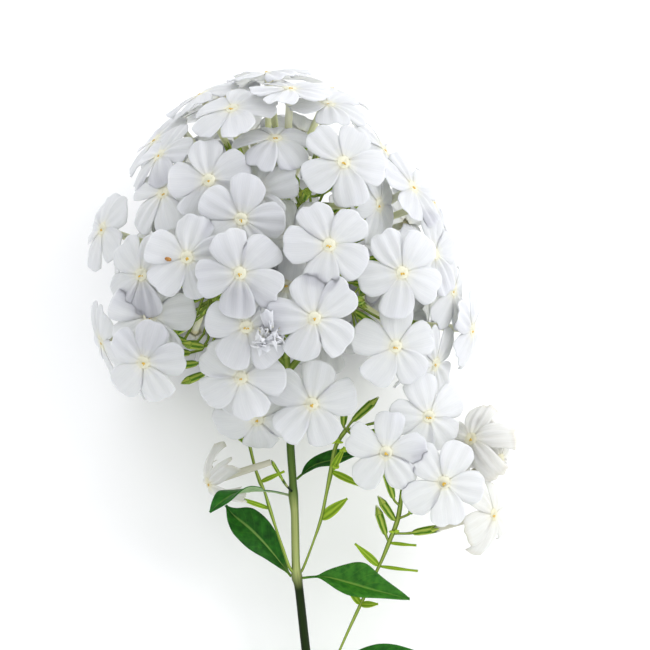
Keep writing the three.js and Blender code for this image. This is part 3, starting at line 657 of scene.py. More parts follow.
def green_material(name, dark, light, rib_count, roughness, shade=None):
    """Green tissue with ribs and fibres. shade darkens parts of its length."""
    material, shader = new_material(
        name, roughness, Subsurface_Weight=0.1, Subsurface_Scale=0.001, Specular_IOR_Level=0.1,
    )
    uv, along, around = uv_axes(material)
    turned_by = calculate(material, "MULTIPLY", around, 2 * math.pi * rib_count)
    ribs = calculate(material, "COSINE", turned_by)
    fibre = stretched_noise(material, uv, (3.0, 24.0, 1.0))
    blend = calculate(material, "MULTIPLY_ADD", ribs, RIB_SHARE, fibre)
    color = ramp(material, blend, [(0.25, dark), (0.8, light)])
    if shade:
        color = mix_color(material, 1.0, color, ramp(material, along, shade), "MULTIPLY")
    link(material, color, shader.inputs["Base Color"])
    add_bump(material, shader, blend, 0.35, 0.0003)
    return material


calyx_green = green_material("calyx_green", (0.07, 0.19, 0.01), (0.44, 0.54, 0.09), 5, 0.5)
stem_green = green_material("stem_green", (0.12, 0.2, 0.02), (0.34, 0.44, 0.09), 3, 0.45)
stem_old = green_material(
    "stem_old", (0.12, 0.17, 0.04), (0.42, 0.47, 0.17), 2, 0.4,
    [(0.0, (0.02, 0.045, 0.015)), (0.6, (0.03, 0.06, 0.02)), (0.65, WHITE), (0.8, WHITE),
     (0.85, (0.35, 0.5, 0.3)), (1.0, (0.2, 0.34, 0.15))],
)
bract_green = green_material("bract_green", (0.16, 0.3, 0.015), (0.36, 0.52, 0.04), 2, 0.5)
print(calyx_green.name, stem_green.name, stem_old.name, bract_green.name)

# %% [markdown]
# ### Leaf green
#
# A leaf has one pale midrib and side veins that leave it and bend towards the tip. The
# UV gives the distance from the midrib and the place along the leaf. A slanted cosine of
# both draws the side veins. The blade between them is a dark, uneven green. The leaf on
# the right has painted light: a lighter copy of the same green. The underside is paler
# and duller.

# %% Leaf green
SIDE_VEINS = 9
VEIN_LEAN = 0.22
SIDE_VEIN_SHARE = 0.16


def grey(value):
    return (value, value, value)


def leaf_material(name, dark, light, vein_color, midrib_color):
    material, shader = new_material(
        name, 0.42, Subsurface_Weight=0.08, Subsurface_Scale=0.001, Specular_IOR_Level=0.12,
    )
    _, along, across = uv_axes(material)
    # distance from the midrib, 0 on it and 1 at the margin
    aside = calculate(material, "ABSOLUTE", calculate(material, "MULTIPLY_ADD", across, 2.0, -1.0))
    # side veins leave the midrib and bend towards the tip
    lead = calculate(material, "MULTIPLY_ADD", aside, -VEIN_LEAN, along)
    turned_by = calculate(material, "MULTIPLY", lead, 2 * math.pi * SIDE_VEINS)
    wave = calculate(material, "COSINE", turned_by)
    side_veins = ramp(material, wave, [(0.9, BLACK), (1.0, WHITE)])
    midrib = ramp(material, aside, [(0.03, WHITE), (0.09, BLACK)])
    veins = mix_color(material, 1.0, side_veins, midrib, "LIGHTEN")
    blade = ramp(material, object_noise(material, 480.0, 6.0), [(0.25, dark), (0.8, light)])
    strength = calculate(material, "MULTIPLY", side_veins, SIDE_VEIN_SHARE)
    veined = mix_color(material, strength, blade, vein_color)
    # the midrib is palest by the stem and fades towards the tip
    fading = ramp(material, along, [(0.0, grey(0.9)), (0.55, grey(0.5)), (1.0, grey(0.2))])
    pale = mix_color(material, 1.0, midrib, fading, "MULTIPLY")
    ribbed = mix_color(material, pale, veined, midrib_color)
    # the leaf's stalk is as pale as the midrib
    base = ramp(material, along, [(0.0, grey(0.9)), (0.05, grey(0.5)), (0.13, BLACK)])
    link(material, mix_color(material, base, ribbed, midrib_color), shader.inputs["Base Color"])
    add_bump(material, shader, veins, -0.35, 0.0004)
    return material


leaf_green = leaf_material(
    "leaf_green", (0.004, 0.045, 0.004), (0.024, 0.16, 0.01), (0.07, 0.24, 0.02), (0.25, 0.4, 0.09),
)
# the same leaf green made lighter: painted light for the leaf on the right
leaf_bright = leaf_material(
    "leaf_bright", (0.012, 0.09, 0.008), (0.06, 0.24, 0.02), (0.12, 0.32, 0.03), (0.25, 0.42, 0.07),
)
leaf_under = leaf_material(
    "leaf_underside", (0.16, 0.28, 0.12), (0.3, 0.42, 0.22), (0.36, 0.46, 0.26), (0.4, 0.5, 0.28),
)
print(leaf_green.name, leaf_bright.name, leaf_under.name)

# %% [markdown]
# ## Tubes along a path
#
# Stems, stalks, calyces and the florets' tubes are all a ring carried along a path. A
# circle is made once and its edges are extruded from station to station. Each new ring
# is moved by the change from the last frame to the next. A curve object with a bevel
# would do the same, but a bmesh keeps every piece one mesh with its own UV.

# %% Help with meshes
def new_bmesh():
    """An empty mesh with the UV map that the materials read."""
    bm = bmesh.new()
    bm.loops.layers.uv.new("shape")
    return bm


def only(made, kind):
    """The vertices, edges or faces among all that an operator made."""
    return [part for part in made if isinstance(part, kind)]


def faces_of(verts):
    return {face for v in verts for face in v.link_faces}


def paint(faces, material):
    for face in faces:
        face.smooth = True
        face.material_index = material


# %% Frames and ends of a tube
def frames_along(points, first_side=None):
    """A matrix at each point, with Z along the path and no twist."""
    side = first_side or Vector((0, 0, 1))
    frames = []
    for i, point in enumerate(points):
        before = points[max(i - 1, 0)]
        after = points[min(i + 1, len(points) - 1)]
        ahead = (after - before).normalized()
        if abs(ahead.dot(side)) > 0.98:
            side = Vector((1, 0, 0))
        side = (side - ahead * ahead.dot(side)).normalized()
        frames.append(Matrix.Translation(point) @ basis_of(side, ahead.cross(side), ahead))
    return frames


def close_end(bm, ring, turns, ahead):
    """A face over a ring, turned to look ahead."""
    cap = bm.faces.new(sorted(ring, key=lambda v: turns[v]))
    cap.normal_update()
    if cap.normal.dot(ahead) < 0:
        cap.normal_flip()
    return cap


def unroll(bm, faces, turns, stations):
    """UV along the tube and round it, with no face torn where the round begins again."""
    uv = bm.loops.layers.uv["shape"]
    for face in faces:
        values = [turns[loop.vert] for loop in face.loops]
        wrap = max(values) - min(values) > 0.5
        for loop, value in zip(face.loops, values):
            around = value + 1 if wrap and value < 0.5 else value
            loop[uv].uv = (stations[loop.vert], around)


# %% The sweep
def sweep(bm, points, radii, segments, material, caps=True, side=None):
    """A tube through points. Returns its last ring of vertices, in order round the tube."""
    frames = frames_along(points, side)
    lengths = [0.0]
    for before, after in zip(points, points[1:]):
        lengths.append(lengths[-1] + (after - before).length)
    first = bmesh.ops.create_circle(bm, cap_ends=False, segments=segments, radius=1.0)["verts"]
    turns = {v: math.atan2(v.co.y, v.co.x) / (2 * math.pi) % 1.0 for v in first}
    stations = {v: 0.0 for v in first}
    bmesh.ops.transform(bm, matrix=frames[0] @ Matrix.Scale(radii[0], 4), verts=first)
    edges = list({e for v in first for e in v.link_edges})
    faces = []
    for i in range(1, len(points)):
        made = bmesh.ops.extrude_edge_only(bm, edges=edges)["geom"]
        ring = only(made, bmesh.types.BMVert)
        faces += only(made, bmesh.types.BMFace)
        edges = [e for e in only(made, bmesh.types.BMEdge) if e.verts[0] in ring and e.verts[1] in ring]
        for v in ring:
            below = next(e.other_vert(v) for e in v.link_edges if e.other_vert(v) in stations)
            turns[v] = turns[below]
        # only now, because the search above must find none of this ring
        for v in ring:
            stations[v] = lengths[i] / lengths[-1]
        step = frames[i] @ Matrix.Scale(radii[i] / radii[i - 1], 4) @ frames[i - 1].inverted()
        bmesh.ops.transform(bm, matrix=step, verts=ring)
    outward = faces[0].calc_center_median() - (points[0] + points[1]) / 2
    if faces[0].normal.length < 0.5:
        faces[0].normal_update()
    if faces[0].normal.dot(outward) < 0:
        bmesh.ops.reverse_faces(bm, faces=faces)
    if caps:
        faces.append(close_end(bm, first, turns, -frames[0].col[2].xyz))
        faces.append(close_end(bm, ring, turns, frames[-1].col[2].xyz))
    paint(faces, material)
    unroll(bm, faces, turns, stations)
    return sorted(ring, key=lambda v: turns[v])


# %% Curves for the paths
def curve_between(start, start_way, end, end_way, count):
    """Points on a smooth curve that leaves and arrives in the directions given."""
    reach = (end - start).length * 0.4
    a, b = start + start_way * reach, end - end_way * reach
    points = []
    for i in range(count):
        t = i / (count - 1)
        s = 1 - t
        points.append(start * s**3 + a * 3 * s * s * t + b * 3 * s * t * t + end * t**3)
    return points


def smooth_line(points, radii, steps):
    """More points and radii between those given, on a smooth curve through them."""
    fine, widths = [], []
    for i in range(len(points) - 1):
        p0, p1 = points[max(i - 1, 0)], points[i]
        p2, p3 = points[i + 1], points[min(i + 2, len(points) - 1)]
        for k in range(steps):
            t = k / steps
            fine.append(0.5 * (
                2 * p1 + (p2 - p0) * t + (2 * p0 - 5 * p1 + 4 * p2 - p3) * t**2
                + (3 * p1 - p0 - 3 * p2 + p3) * t**3
            ))
            ease = smoothstep(t, 0, 1)
            widths.append(radii[i] * (1 - ease) + radii[i + 1] * ease)
    return fine + [points[-1]], widths + [radii[-1]]


# %% [markdown]
# ## One petal lobe
#
# A real lobe is a thin sheet: narrow where it leaves the throat, widest near its blunt
# end, with soft folds that fan out from the throat and one edge tucked under the next
# lobe. A sculpting brush could bend one lobe well. There are hundreds here, so a formula
# bends a flat grid, and each lobe has its own draw of size, fold and wave. No two are
# alike.

# %% The draw of a lobe's shape
LOBE_ROOT = 1.3
LOBE_WEDGE = 0.84
PETAL_REACH = 15.2
PETAL_HALF = 6.55


def floret_look(rng, pose):
    """What the five lobes of a floret share."""
    return dict(
        reach=PETAL_REACH * rng.uniform(0.93, 1.0) * pose["small"],
        half=PETAL_HALF * rng.uniform(0.92, 1.04) * pose["slim"],
        crease=pose["crease"] if pose["crease"] is not None else rng.uniform(-0.5, 1.1),
        pleat=rng.uniform(0.25, 0.55),
        groove=rng.uniform(0.1, 0.5),
    )


def lobe_look(rng, pose, shared):
    """The draw of one lobe's own shape."""
    wilt = pose["wilt"]
    return dict(
        reach=shared["reach"] * rng.uniform(0.93, 1.0) * (1 - 0.08 * wilt),
        half=shared["half"] * rng.uniform(0.92, 1.03) * (1 - 0.3 * wilt),
        curl=pose["curl"] + rng.uniform(-1.0, 1.1) + rng.choice([0, 0, 0, 1.6]) + wilt * rng.uniform(-1, 2),
        crease=shared["crease"] * rng.uniform(0.6, 1.2) + 0.8 * wilt,
        pleat=shared["pleat"] * rng.uniform(0.6, 1.4) + 0.3 * wilt,
        groove=shared["groove"] * rng.uniform(0.5, 1.4),
        phase=rng.uniform(-0.6, 0.6),
        edge=rng.uniform(-0.4, 1.0) + 1.2 * wilt,
        wave=rng.uniform(0.15, 0.5) + 0.5 * wilt,
        ripple=rng.uniform(0, 6.28),
        lean=rng.uniform(-1.0, 1.0),
        skew=math.radians(rng.uniform(-4, 4)),
        tip=rng.uniform(1.5, 2.9),
        square=rng.uniform(2.4, 4.0),
        notch=rng.choice([0, 0, 0.4, 0.8]),
    )


# %% The bent sheet
LOBE_GRID = (18, 14)
LOWEST = cad_box[0][2] / MM + 0.05  # petals stay this high


def new_grid(bm, grid, material):
    """A flat grid with UV from its root to its tip and from edge to edge."""
    uv = bm.loops.layers.uv["shape"]
    made = bmesh.ops.create_grid(bm, x_segments=grid[0], y_segments=grid[1], size=1.0)["verts"]
    faces = faces_of(made)
    paint(faces, material)
    for face in faces:
        for loop in face.loops:
            loop[uv].uv = ((loop.vert.co.x + 1) / 2, (loop.vert.co.y + 1) / 2)
    return made


def lobe_point(u, s, look):
    """The place of a grid point: u runs from throat to tip, s from edge to edge."""
    # the outline: a wedge that eases into an even width, and a blunt end, at times notched
    r = LOBE_ROOT + (look["reach"] - LOBE_ROOT) * u
    half = ((LOBE_WEDGE * r) ** -4 + look["half"] ** -4) ** -0.25
    half *= 1 - 0.1 * u**8
    along = r - look["tip"] * u**4 * abs(s) ** look["square"]
    along -= look["notch"] * u**8 * math.exp(-((s / 0.22) ** 2))
    side = half * s + look["lean"] * u * u
    # the relief: the curl back, the pleats, the crease, the middle groove and the wavy edge
    fan = math.sin(min(2.4 * u, 1) * math.pi / 2)
    held = 1 - abs(s) ** 3 * (1 - u)
    out = -look["curl"] * u * u
    out += look["pleat"] * fan * (1 - 0.5 * u) * held * math.cos(math.pi * (2.7 * s + look["phase"]))
    out += look["crease"] * fan * (1 - 0.45 * u) * (0.4 - abs(s))
    out -= look["groove"] * fan * (1 - 0.6 * u) * math.exp(-((s / 0.16) ** 2))
    out -= look["edge"] * u * u * s * s
    out += look["wave"] * u**3 * math.sin(4 * s + look["ripple"])
    # one edge over and one edge under the neighbours
    out += 0.42 * s * (1 - 0.6 * u) * fan
    return along, side, out


def add_lobe(bm, pose, angle, look, material, floor_gap):
    """One lobe of a floret, bent from a grid and kept off the table."""
    across = pose["facing"].cross(pose["lobe"])
    cos, sin = math.cos(angle + look["skew"]), math.sin(angle + look["skew"])
    for v in new_grid(bm, LOBE_GRID, material):
        along, side, out = lobe_point((v.co.x + 1) / 2, v.co.y, look)
        a, b = along * cos - side * sin, along * sin + side * cos
        v.co = pose["at"] + pose["lobe"] * a + across * b + pose["facing"] * out
        v.co.z = max(v.co.z, LOWEST + floor_gap)


print("a lobe has", LOBE_GRID[0] * LOBE_GRID[1], "faces and is about", PETAL_REACH, "mm long")

# %% [markdown]
# ## The floret
#
# Five lobes round the throat, a shallow funnel that narrows to the tube, and gold anther
# tips just inside it. In the photo the throat is a small cream cup, and two or three
# anther tips show on its lower side. So the tube gets a cream floor close under the rim,
# and the tips lie on it. The lobes begin inside the funnel's rim, which needs no cut and
# no join.

# %% Throat and anthers
THROAT_FLOOR = -0.35
THROAT_RADIUS = 1.42
THROAT_SHADE = 0.08  # the place on the tube's colour ramp that the floor takes
THROAT_SIDES = 14
ANTHERS = 3
ANTHER_RADIUS = 0.33
ANTHER_SPREAD = 0.8  # radians between two tips
DOWN = turn(0, -1, 0)


def add_blob(bm, centre, axes, radii, material):
    """A rounded grain with its own three axes and radii."""
    matrix = Matrix.Translation(centre) @ basis_of(*axes) @ Matrix.Diagonal((*radii, 1))
    made = bmesh.ops.create_uvsphere(bm, u_segments=8, v_segments=5, radius=1.0, matrix=matrix)["verts"]
    paint(faces_of(made), material)


def add_throat(bm, pose, material):
    """The cream floor that closes the throat close under its rim."""
    facing = pose["facing"]
    basis = basis_of(pose["lobe"], facing.cross(pose["lobe"]), facing)
    spot = Matrix.Translation(pose["at"] + facing * THROAT_FLOOR) @ basis
    made = bmesh.ops.create_circle(
        bm, cap_ends=True, segments=THROAT_SIDES, radius=THROAT_RADIUS, matrix=spot,
    )["verts"]
    uv = bm.loops.layers.uv["shape"]
    for face in faces_of(made):
        face.normal_update()
        if face.normal.dot(facing) < 0:
            face.normal_flip()
        face.material_index = material
        for loop in face.loops:
            loop[uv].uv = (THROAT_SHADE, 0.5)


def add_anthers(bm, pose, rng, material):
    """Anther tips on the lower side of the throat."""
    facing, lobe = pose["facing"], pose["lobe"]
    across = facing.cross(lobe)
    low = math.atan2(DOWN.dot(across), DOWN.dot(lobe))
    for k in range(ANTHERS):
        angle = low + (k - 1) * ANTHER_SPREAD + rng.uniform(-0.3, 0.3)
        outward = lobe * math.cos(angle) + across * math.sin(angle)
        centre = pose["at"] + facing * rng.uniform(-0.2, 0.1) + outward * rng.uniform(0.3, 0.8)
        radii = (ANTHER_RADIUS * rng.uniform(1.2, 1.9), ANTHER_RADIUS, ANTHER_RADIUS)
        add_blob(bm, centre, (outward, facing.cross(outward), facing), radii, material)


print("the throat's floor is", 2 * THROAT_RADIUS, "mm wide")

# %% The whole floret
PETAL, TUBE, ANTHER, STYLE_BROWN = range(4)  # the order of a floret piece's materials
TUBE_RINGS = [  # height over the throat, radius
    (0.0, 2.1), (0.1, 1.85), (0.09, 1.62), (-0.02, 1.45), (-0.3, 1.34), (-0.8, 1.27),
    (-1.6, 1.22), (-3.5, 1.22), (-8, 1.25), (-13, 1.22), (-17, 1.12), (-20, 1.0),
]


def add_floret(bm, pose, rng, tube_path):
    """One floret. tube_path maps a depth below the throat to a point."""
    shared = floret_look(rng, pose)
    for k in range(LOBES):
        look = lobe_look(rng, pose, shared)
        add_lobe(bm, pose, 2 * math.pi * k / LOBES, look, PETAL, rng.uniform(0.25, 0.9))
    centres = [tube_path(-out) if out < 0 else pose["at"] + pose["facing"] * out for out, _ in TUBE_RINGS]
    radii = [radius for _, radius in TUBE_RINGS]
    sweep(bm, centres, radii, THROAT_SIDES, TUBE, caps=False, side=pose["lobe"])
    add_throat(bm, pose, TUBE)
    add_anthers(bm, pose, rng, ANTHER)


TUBE_STEPS = 20


def straight_tube(pose):
    """The path of a tube that runs straight back from its throat."""
    return lambda depth: pose["at"] - pose["facing"] * depth


def bent_tube(pose, end, end_way):
    """The path of a tube that leaves the throat straight and bends to meet its calyx."""
    points = curve_between(pose["at"], -pose["facing"], end, end_way, TUBE_STEPS + 1)

    def path(depth):
        place = min(depth / TUBE_LENGTH, 1) * TUBE_STEPS
        low = min(int(place), TUBE_STEPS - 1)
        return points[low].lerp(points[low + 1], place - low)

    return path


print("a floret has", LOBES, "lobes and", ANTHERS, "anther tips")

# %% [markdown]
# ## Finishing a piece
#
# Each mesh is made in millimetres and scaled to metres at the end, with its object left
# at the origin. Petals and leaves are single sheets, because a sheet is easy to bend. A
# Solidify modifier gives them their thickness at the end, on the side that their faces
# point away from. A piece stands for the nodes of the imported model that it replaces, and
# stays inside that model's box.

# %% Finish a piece
PETAL_THICKNESS = 0.22
BOX_MARGIN = 0.3
FLOOR_MARGIN = 0.02


def keep_inside(bm, thickness):
    """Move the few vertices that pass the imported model's box back into it."""
    low = [value / MM + BOX_MARGIN for value in cad_box[0]]
    high = [value / MM - BOX_MARGIN for value in cad_box[1]]
    low[2] = cad_box[0][2] / MM + FLOOR_MARGIN + thickness
    for v in bm.verts:
        v.co = Vector([min(max(v.co[i], low[i]), high[i]) for i in range(3)])


def finish_piece(bm, name, materials, nodes, thickness=0.0, under=0):
    """Scale a mesh to metres and make it a piece that stands for its CAD nodes."""
    keep_inside(bm, thickness)
    bmesh.ops.scale(bm, vec=(MM, MM, MM), verts=bm.verts)
    mesh = bpy.data.meshes.new(name)
    bm.to_mesh(mesh)
    bm.free()
    for material in materials:
        mesh.materials.append(material)
    piece = bpy.data.objects.new(name, mesh)
    bpy.context.scene.collection.objects.link(piece)
    if thickness:
        solidify = piece.modifiers.new("thickness", "SOLIDIFY")
        solidify.thickness = thickness * MM
        solidify.offset = -1
        solidify.material_offset = under
    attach(piece, "root")
    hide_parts(*nodes)
# %% [markdown]
# ## Florets of the head
#
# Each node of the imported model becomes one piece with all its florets. Copies of a few
# florets would be lighter, but on the real head no floret looks like its neighbour. The
# node's name seeds the draw, so every run makes the same flower.
#
# Two small things break the order of the head. Between the lower florets lies a tuft of
# crumpled petals that never opened, and one brown withered style rests on a petal at the
# left. They belong to the floret nearest to them.

# %% The tuft and the style
TUFT = lay((-10.2, 167.0, 55.0))
TUFT_PETALS = 28
TUFT_REACH = 4.4
STYLE = lay((-41.2, 190.0, 50.4))
STYLE_AXES = (turn(1, -0.3, 0).normalized(), turn(0.3, 1, 0).normalized(), turn(0, 0, 1))
STYLE_RADII = (1.25, 0.75, 0.5)


def nearest(place):
    """The node of the floret nearest to a place."""
    distances = {
        name: min((pose["at"] - place).length for pose in group)
        for name, group in groups.items() if group
    }
    return min(distances, key=distances.get)


def add_tuft(bm, rng):
    """Small wilted lobes that point every way from almost one place."""
    for _ in range(TUFT_PETALS):
        tilt = Vector((rng.uniform(-1, 1), rng.uniform(-1, 1), rng.uniform(-0.3, 1))).normalized()
        facing = turn(*tilt)
        aside = turn(rng.uniform(-3.2, 3.2), rng.uniform(-2.8, 2.8), rng.uniform(-2, 0.5))
        pose = dict(
            at=TUFT + aside, facing=facing, lobe=facing.orthogonal().normalized(),
            curl=rng.uniform(-1, 3), wilt=1.2, crease=1.0, slim=0.75, small=TUFT_REACH / PETAL_REACH,
        )
        angle = rng.uniform(0, 6.28)
        add_lobe(bm, pose, angle, lobe_look(rng, pose, floret_look(rng, pose)), PETAL, 0)


tuft_node, style_node = nearest(TUFT), nearest(STYLE)
print("the tuft is in", tuft_node, "and the style in", style_node)

# %% Florets of the head
faces_made = 0
for name, poses in groups.items():
    bm = new_bmesh()
    rng = random.Random(name)
    for pose in poses:
        add_floret(bm, pose, rng, straight_tube(pose))
    if name == tuft_node:
        add_tuft(bm, rng)
    if name == style_node:
        add_blob(bm, STYLE, STYLE_AXES, STYLE_RADII, STYLE_BROWN)
    faces_made += len(bm.faces)
    finish_piece(
        bm, name + "_petals", [petal_fresh, tube_cream, anther_gold, withered_brown],
        [name], PETAL_THICKNESS,
    )
print("faces in the head's florets", faces_made)

# %% [markdown]
# ## Florets of the side sprays
#
# Below the head, side stems carry a few florets of their own. Some are fresh, and some
# are fading: their lobes are narrower, curl back and have a warmer white. Their tubes
# bend on the way to the calyx, so each tube follows a curve. The places come from the
# photo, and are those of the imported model.

# %% Places of the side florets
SIDE_LIST = [
    dict(node="spray_florets_fresh", on="side_spray_stem", throat=(28, 128.2, 36), right=0.05, up=-0.05,
         spin=12, slim=0.84, small=0.92, crease=1.2,
         tube_end=(28.4, 121, 18), calyx_base=(31, 112, 12), root=(33.4, 109, 8.2)),
    dict(node="spray_florets_fresh", on="side_spray_stem", throat=(46.7, 118.4, 34), right=0.1, up=0,
         spin=-9, tube_end=(40, 111.5, 17), calyx_base=(36.5, 107, 11), root=(32.6, 104.8, 7.5)),
    dict(node="spray_florets_faded", on="side_spray_stem", throat=(56, 132, 22), right=-0.45, up=0.3,
         spin=80, curl=7, wilt=1.0,
         tube_end=(64, 126.5, 6), calyx_base=(60.5, 120.5, 1), root=(33.9, 113.8, 9)),
    dict(node="spray_florets_faded", on="side_spray_stem", throat=(66, 125, 17), right=0.75, up=-0.2,
         spin=-60, curl=8, wilt=1.0,
         tube_end=(52, 115.5, 12), calyx_base=(46, 111, 9), root=(33.9, 112, 9)),
    dict(node="spray_florets_faded", on="side_spray_stem", throat=(64.1, 106.6, 14), right=0.82, up=0.05,
         spin=70, curl=3, wilt=0.5,
         tube_end=(45, 101.6, 9), calyx_base=(37.5, 100.2, 8), root=(31, 99.8, 5.8)),
    dict(node="side_floret_left", on="side_stem_left", throat=(-13.5, 138.5, 30), right=0.05, up=-0.5,
         spin=-88, curl=3, tube_end=(-15, 142, 11.5), calyx_base=(-17, 136.5, 9), root=(-16.9, 131, 11)),
    dict(node="side_floret_right", on="side_stem_right", throat=(42, 139.5, 29), right=0.4, up=-0.15,
         spin=178, tube_end=(34, 139, 11), calyx_base=(26, 137, 9), root=(15.3, 134.5, 12)),
    dict(node="stem_floret_faded", on="stem", throat=(-30, 117, 15), right=-0.85, up=-0.33,
         spin=60, slim=0.7, small=0.9, girth=0.45, curl=6, wilt=1.0,
         tube_end=(-9.4, 124, 13.5), calyx_base=(-5.5, 117.5, 8), root=(-2.3, 113, 0)),
]
side_nodes = sorted({entry["node"] for entry in SIDE_LIST})
print("side florets", len(SIDE_LIST), "in", len(side_nodes), "pieces")

# %% Florets of the side sprays
for node in side_nodes:
    bm = new_bmesh()
    rng = random.Random(node)
    for entry in SIDE_LIST:
        if entry["node"] == node:
            pose = pose_of(dict(entry, at=Vector(entry["throat"]), facing=facing_of(entry)))
            end = lay(entry["tube_end"])
            way = (end - lay(entry["throat"])).normalized()
            add_floret(bm, pose, rng, bent_tube(pose, end, way))
    faded = "faded" in node
    materials = [petal_faded, tube_fading] if faded else [petal_fresh, tube_cream]
    finish_piece(
        bm, node + "_petals", [*materials, anther_gold],
        [node], PETAL_THICKNESS,
    )
    print(node, "faded" if faded else "fresh")

# %% [markdown]
# ## Calyx and pedicel
#
# The calyx is a green ribbed cup with five long teeth that clasp the tube. The cup is a
# swept tube with ten sides. Its last ring is extruded once more, and every second new
# vertex is moved far forward, which gives five pointed teeth with notches between them.
# Teeth could also be cut out of a longer cup, but moved vertices keep the faces clean.
# Over an unopened bud the teeth come together. The pedicel below the cup curves back to
# the fork of its branch.

# %% Calyx
CALYX_SIDES = 10  # two for each tooth
CALYX_RINGS = [  # share of the way from base to mouth, radius
    (0.0, 0.55), (0.08, 0.95), (0.3, 1.25), (0.6, 1.4), (0.9, 1.42), (1.0, 1.4),
]
CUP_SHORTER = 1.0  # the cup ends this far before the mouth
TOOTH_LENGTH = 3.4
NOTCH_LENGTH = 0.4


def add_teeth(bm, ring, stop, way, girth, closed, material):
    """One more ring beyond the cup, drawn out to a tooth at every second vertex."""
    tooth_pull, notch_pull = (0.15, 0.7) if closed else (0.8, 1.0)
    edges = list({e for v in ring for e in v.link_edges if e.other_vert(v) in ring})
    made = bmesh.ops.extrude_edge_only(bm, edges=edges)["geom"]
    for v in only(made, bmesh.types.BMVert):
        below = next(e.other_vert(v) for e in v.link_edges if e.other_vert(v) in ring)
        if ring.index(below) % 2 == 0:
            v.co = stop + way * (TOOTH_LENGTH * girth) + (below.co - stop) * tooth_pull
        else:
            v.co = stop + way * NOTCH_LENGTH + (below.co - stop) * notch_pull
    faces = only(made, bmesh.types.BMFace)
    paint(faces, material)
    uv = bm.loops.layers.uv["shape"]
    for face in faces:
        for loop in face.loops:
            loop[uv].uv = (1.0, (ring.index(loop.vert) if loop.vert in ring else 0) / CALYX_SIDES)


def add_calyx(bm, base, mouth, material, closed=False, girth=1.0):
    """A calyx between two points. closed draws its teeth together over an unopened bud."""
    way = (mouth - base).normalized()
    stop = mouth - way * CUP_SHORTER
    points = [base.lerp(stop, share) for share, _ in CALYX_RINGS]
    radii = [radius * girth for _, radius in CALYX_RINGS]
    ring = sweep(bm, points, radii, CALYX_SIDES, material, caps=False)
    add_teeth(bm, ring, stop, way, girth, closed, material)


print("a calyx is", CALYX_LENGTH, "mm long with", CALYX_SIDES // 2, "teeth")

# %% Pedicel
STALK_RADII = [0.55, 0.45, 0.42, 0.42, 0.45, 0.5, 0.55]
STALK_SIDES = 6
STALK_INSIDE = 0.3  # the stalk ends this far inside the calyx


def add_stalk(bm, root, base, mouth, calyx, stalk, closed=False, girth=1.0):
    """A pedicel from its root to the calyx, and the calyx on it."""
    way = (mouth - base).normalized()
    leave = (base - root).normalized()
    points = curve_between(root, leave, base + way * STALK_INSIDE, way, len(STALK_RADII))
    sweep(bm, points, STALK_RADII, STALK_SIDES, stalk)
    add_calyx(bm, base, mouth, calyx, closed, girth)


print("a pedicel is", 2 * min(STALK_RADII), "mm thick at its thinnest")

# %% [markdown]
# ## Green stalks in the head
#
# Under the petals the axis of the stem goes on, and branches leave it for the forks that
# carry the florets. The forks lie on a smaller dome inside the head. Each pedicel ends at
# the fork, or the place on the axis, that lies best behind its floret. The buds that show
# between the petals get the same stalk with a closed calyx. The head hides most of this,
# so plain tubes with a round knot at each fork are enough.

# %% Axis and forks
NECK_X, NECK_H = -3.1, 127  # where the axis leaves the stem
AXIS_LINE = [(127.3, 1.3), (150, 1.25), (180, 1.15), (204, 0.9)]  # height, radius
AXIS_ROOTS = [150, 162, 174, 186, 198]
HUB_COUNT = 14
HUB_EDGE_DEG = 115
HUB_DEPTH = 0.42  # the size of the inner dome, as a share of the head
HUB_RADIUS = 1.5
BRANCH_RISE = 24  # a branch leaves the axis this far below its fork
BRANCH_LOWEST = 135
BRANCH_HIGHEST = 200
BRANCH_RADII = [1.2, 0.95, 0.95]
PEDICEL_AIM = 9  # how far behind the calyx the best fork would be


def axis_at(h):
    """The middle of the axis at a height."""
    return lay((NECK_X + (HEAD.x - NECK_X) * (h - NECK_H) / (HEAD.y - NECK_H), h, 0))


hub_spots = spread(HUB_COUNT, HUB_EDGE_DEG, HUB_DEPTH)
hubs = [lay(spot["at"]) for spot in hub_spots]
roots = hubs + [axis_at(h) for h in AXIS_ROOTS]


def root_of(base, facing):
    """The fork or place on the axis that lies best behind a calyx."""
    aim = base - facing * PEDICEL_AIM
    return min(roots, key=lambda root: (root - aim).length)


print("forks", len(hubs), "and places on the axis", len(AXIS_ROOTS))

# %% Unopened buds that show between the petals
HEAD_BUDS = [
    dict(x=-42.6, h=165.7, d=33, right=-0.75, up=0.25),
    dict(x=-42, h=160.5, d=31, right=-0.8, up=0.05),
    dict(x=-39.4, h=156, d=33, right=-0.78, up=-0.1),
    dict(x=-36.5, h=151, d=32, right=-0.7, up=-0.3),
    dict(x=-36, h=163, d=38, right=-0.6, up=0.1),
    dict(x=-1.1, h=216, d=43, right=0, up=0.45),
    dict(x=3, h=212, d=46, right=0.15, up=0.3),
    dict(x=-11, h=221, d=38, right=-0.1, up=0.5),
    dict(x=18, h=207, d=42, right=0.4, up=0.3),
    dict(x=-24.5, h=202, d=44, right=-0.35, up=0.2),
    dict(x=20, h=177, d=47, right=0.4, up=0),
    dict(x=-27, h=178, d=45, right=-0.4, up=0),
]
print("buds in the head", len(HEAD_BUDS))

# %% Green stalks in the head
CALYX, STALK = range(2)  # the order of the piece's materials
BRANCH_STEPS, BRANCH_SIDES = 4, 8
AXIS_STEPS, AXIS_SIDES = 6, 12

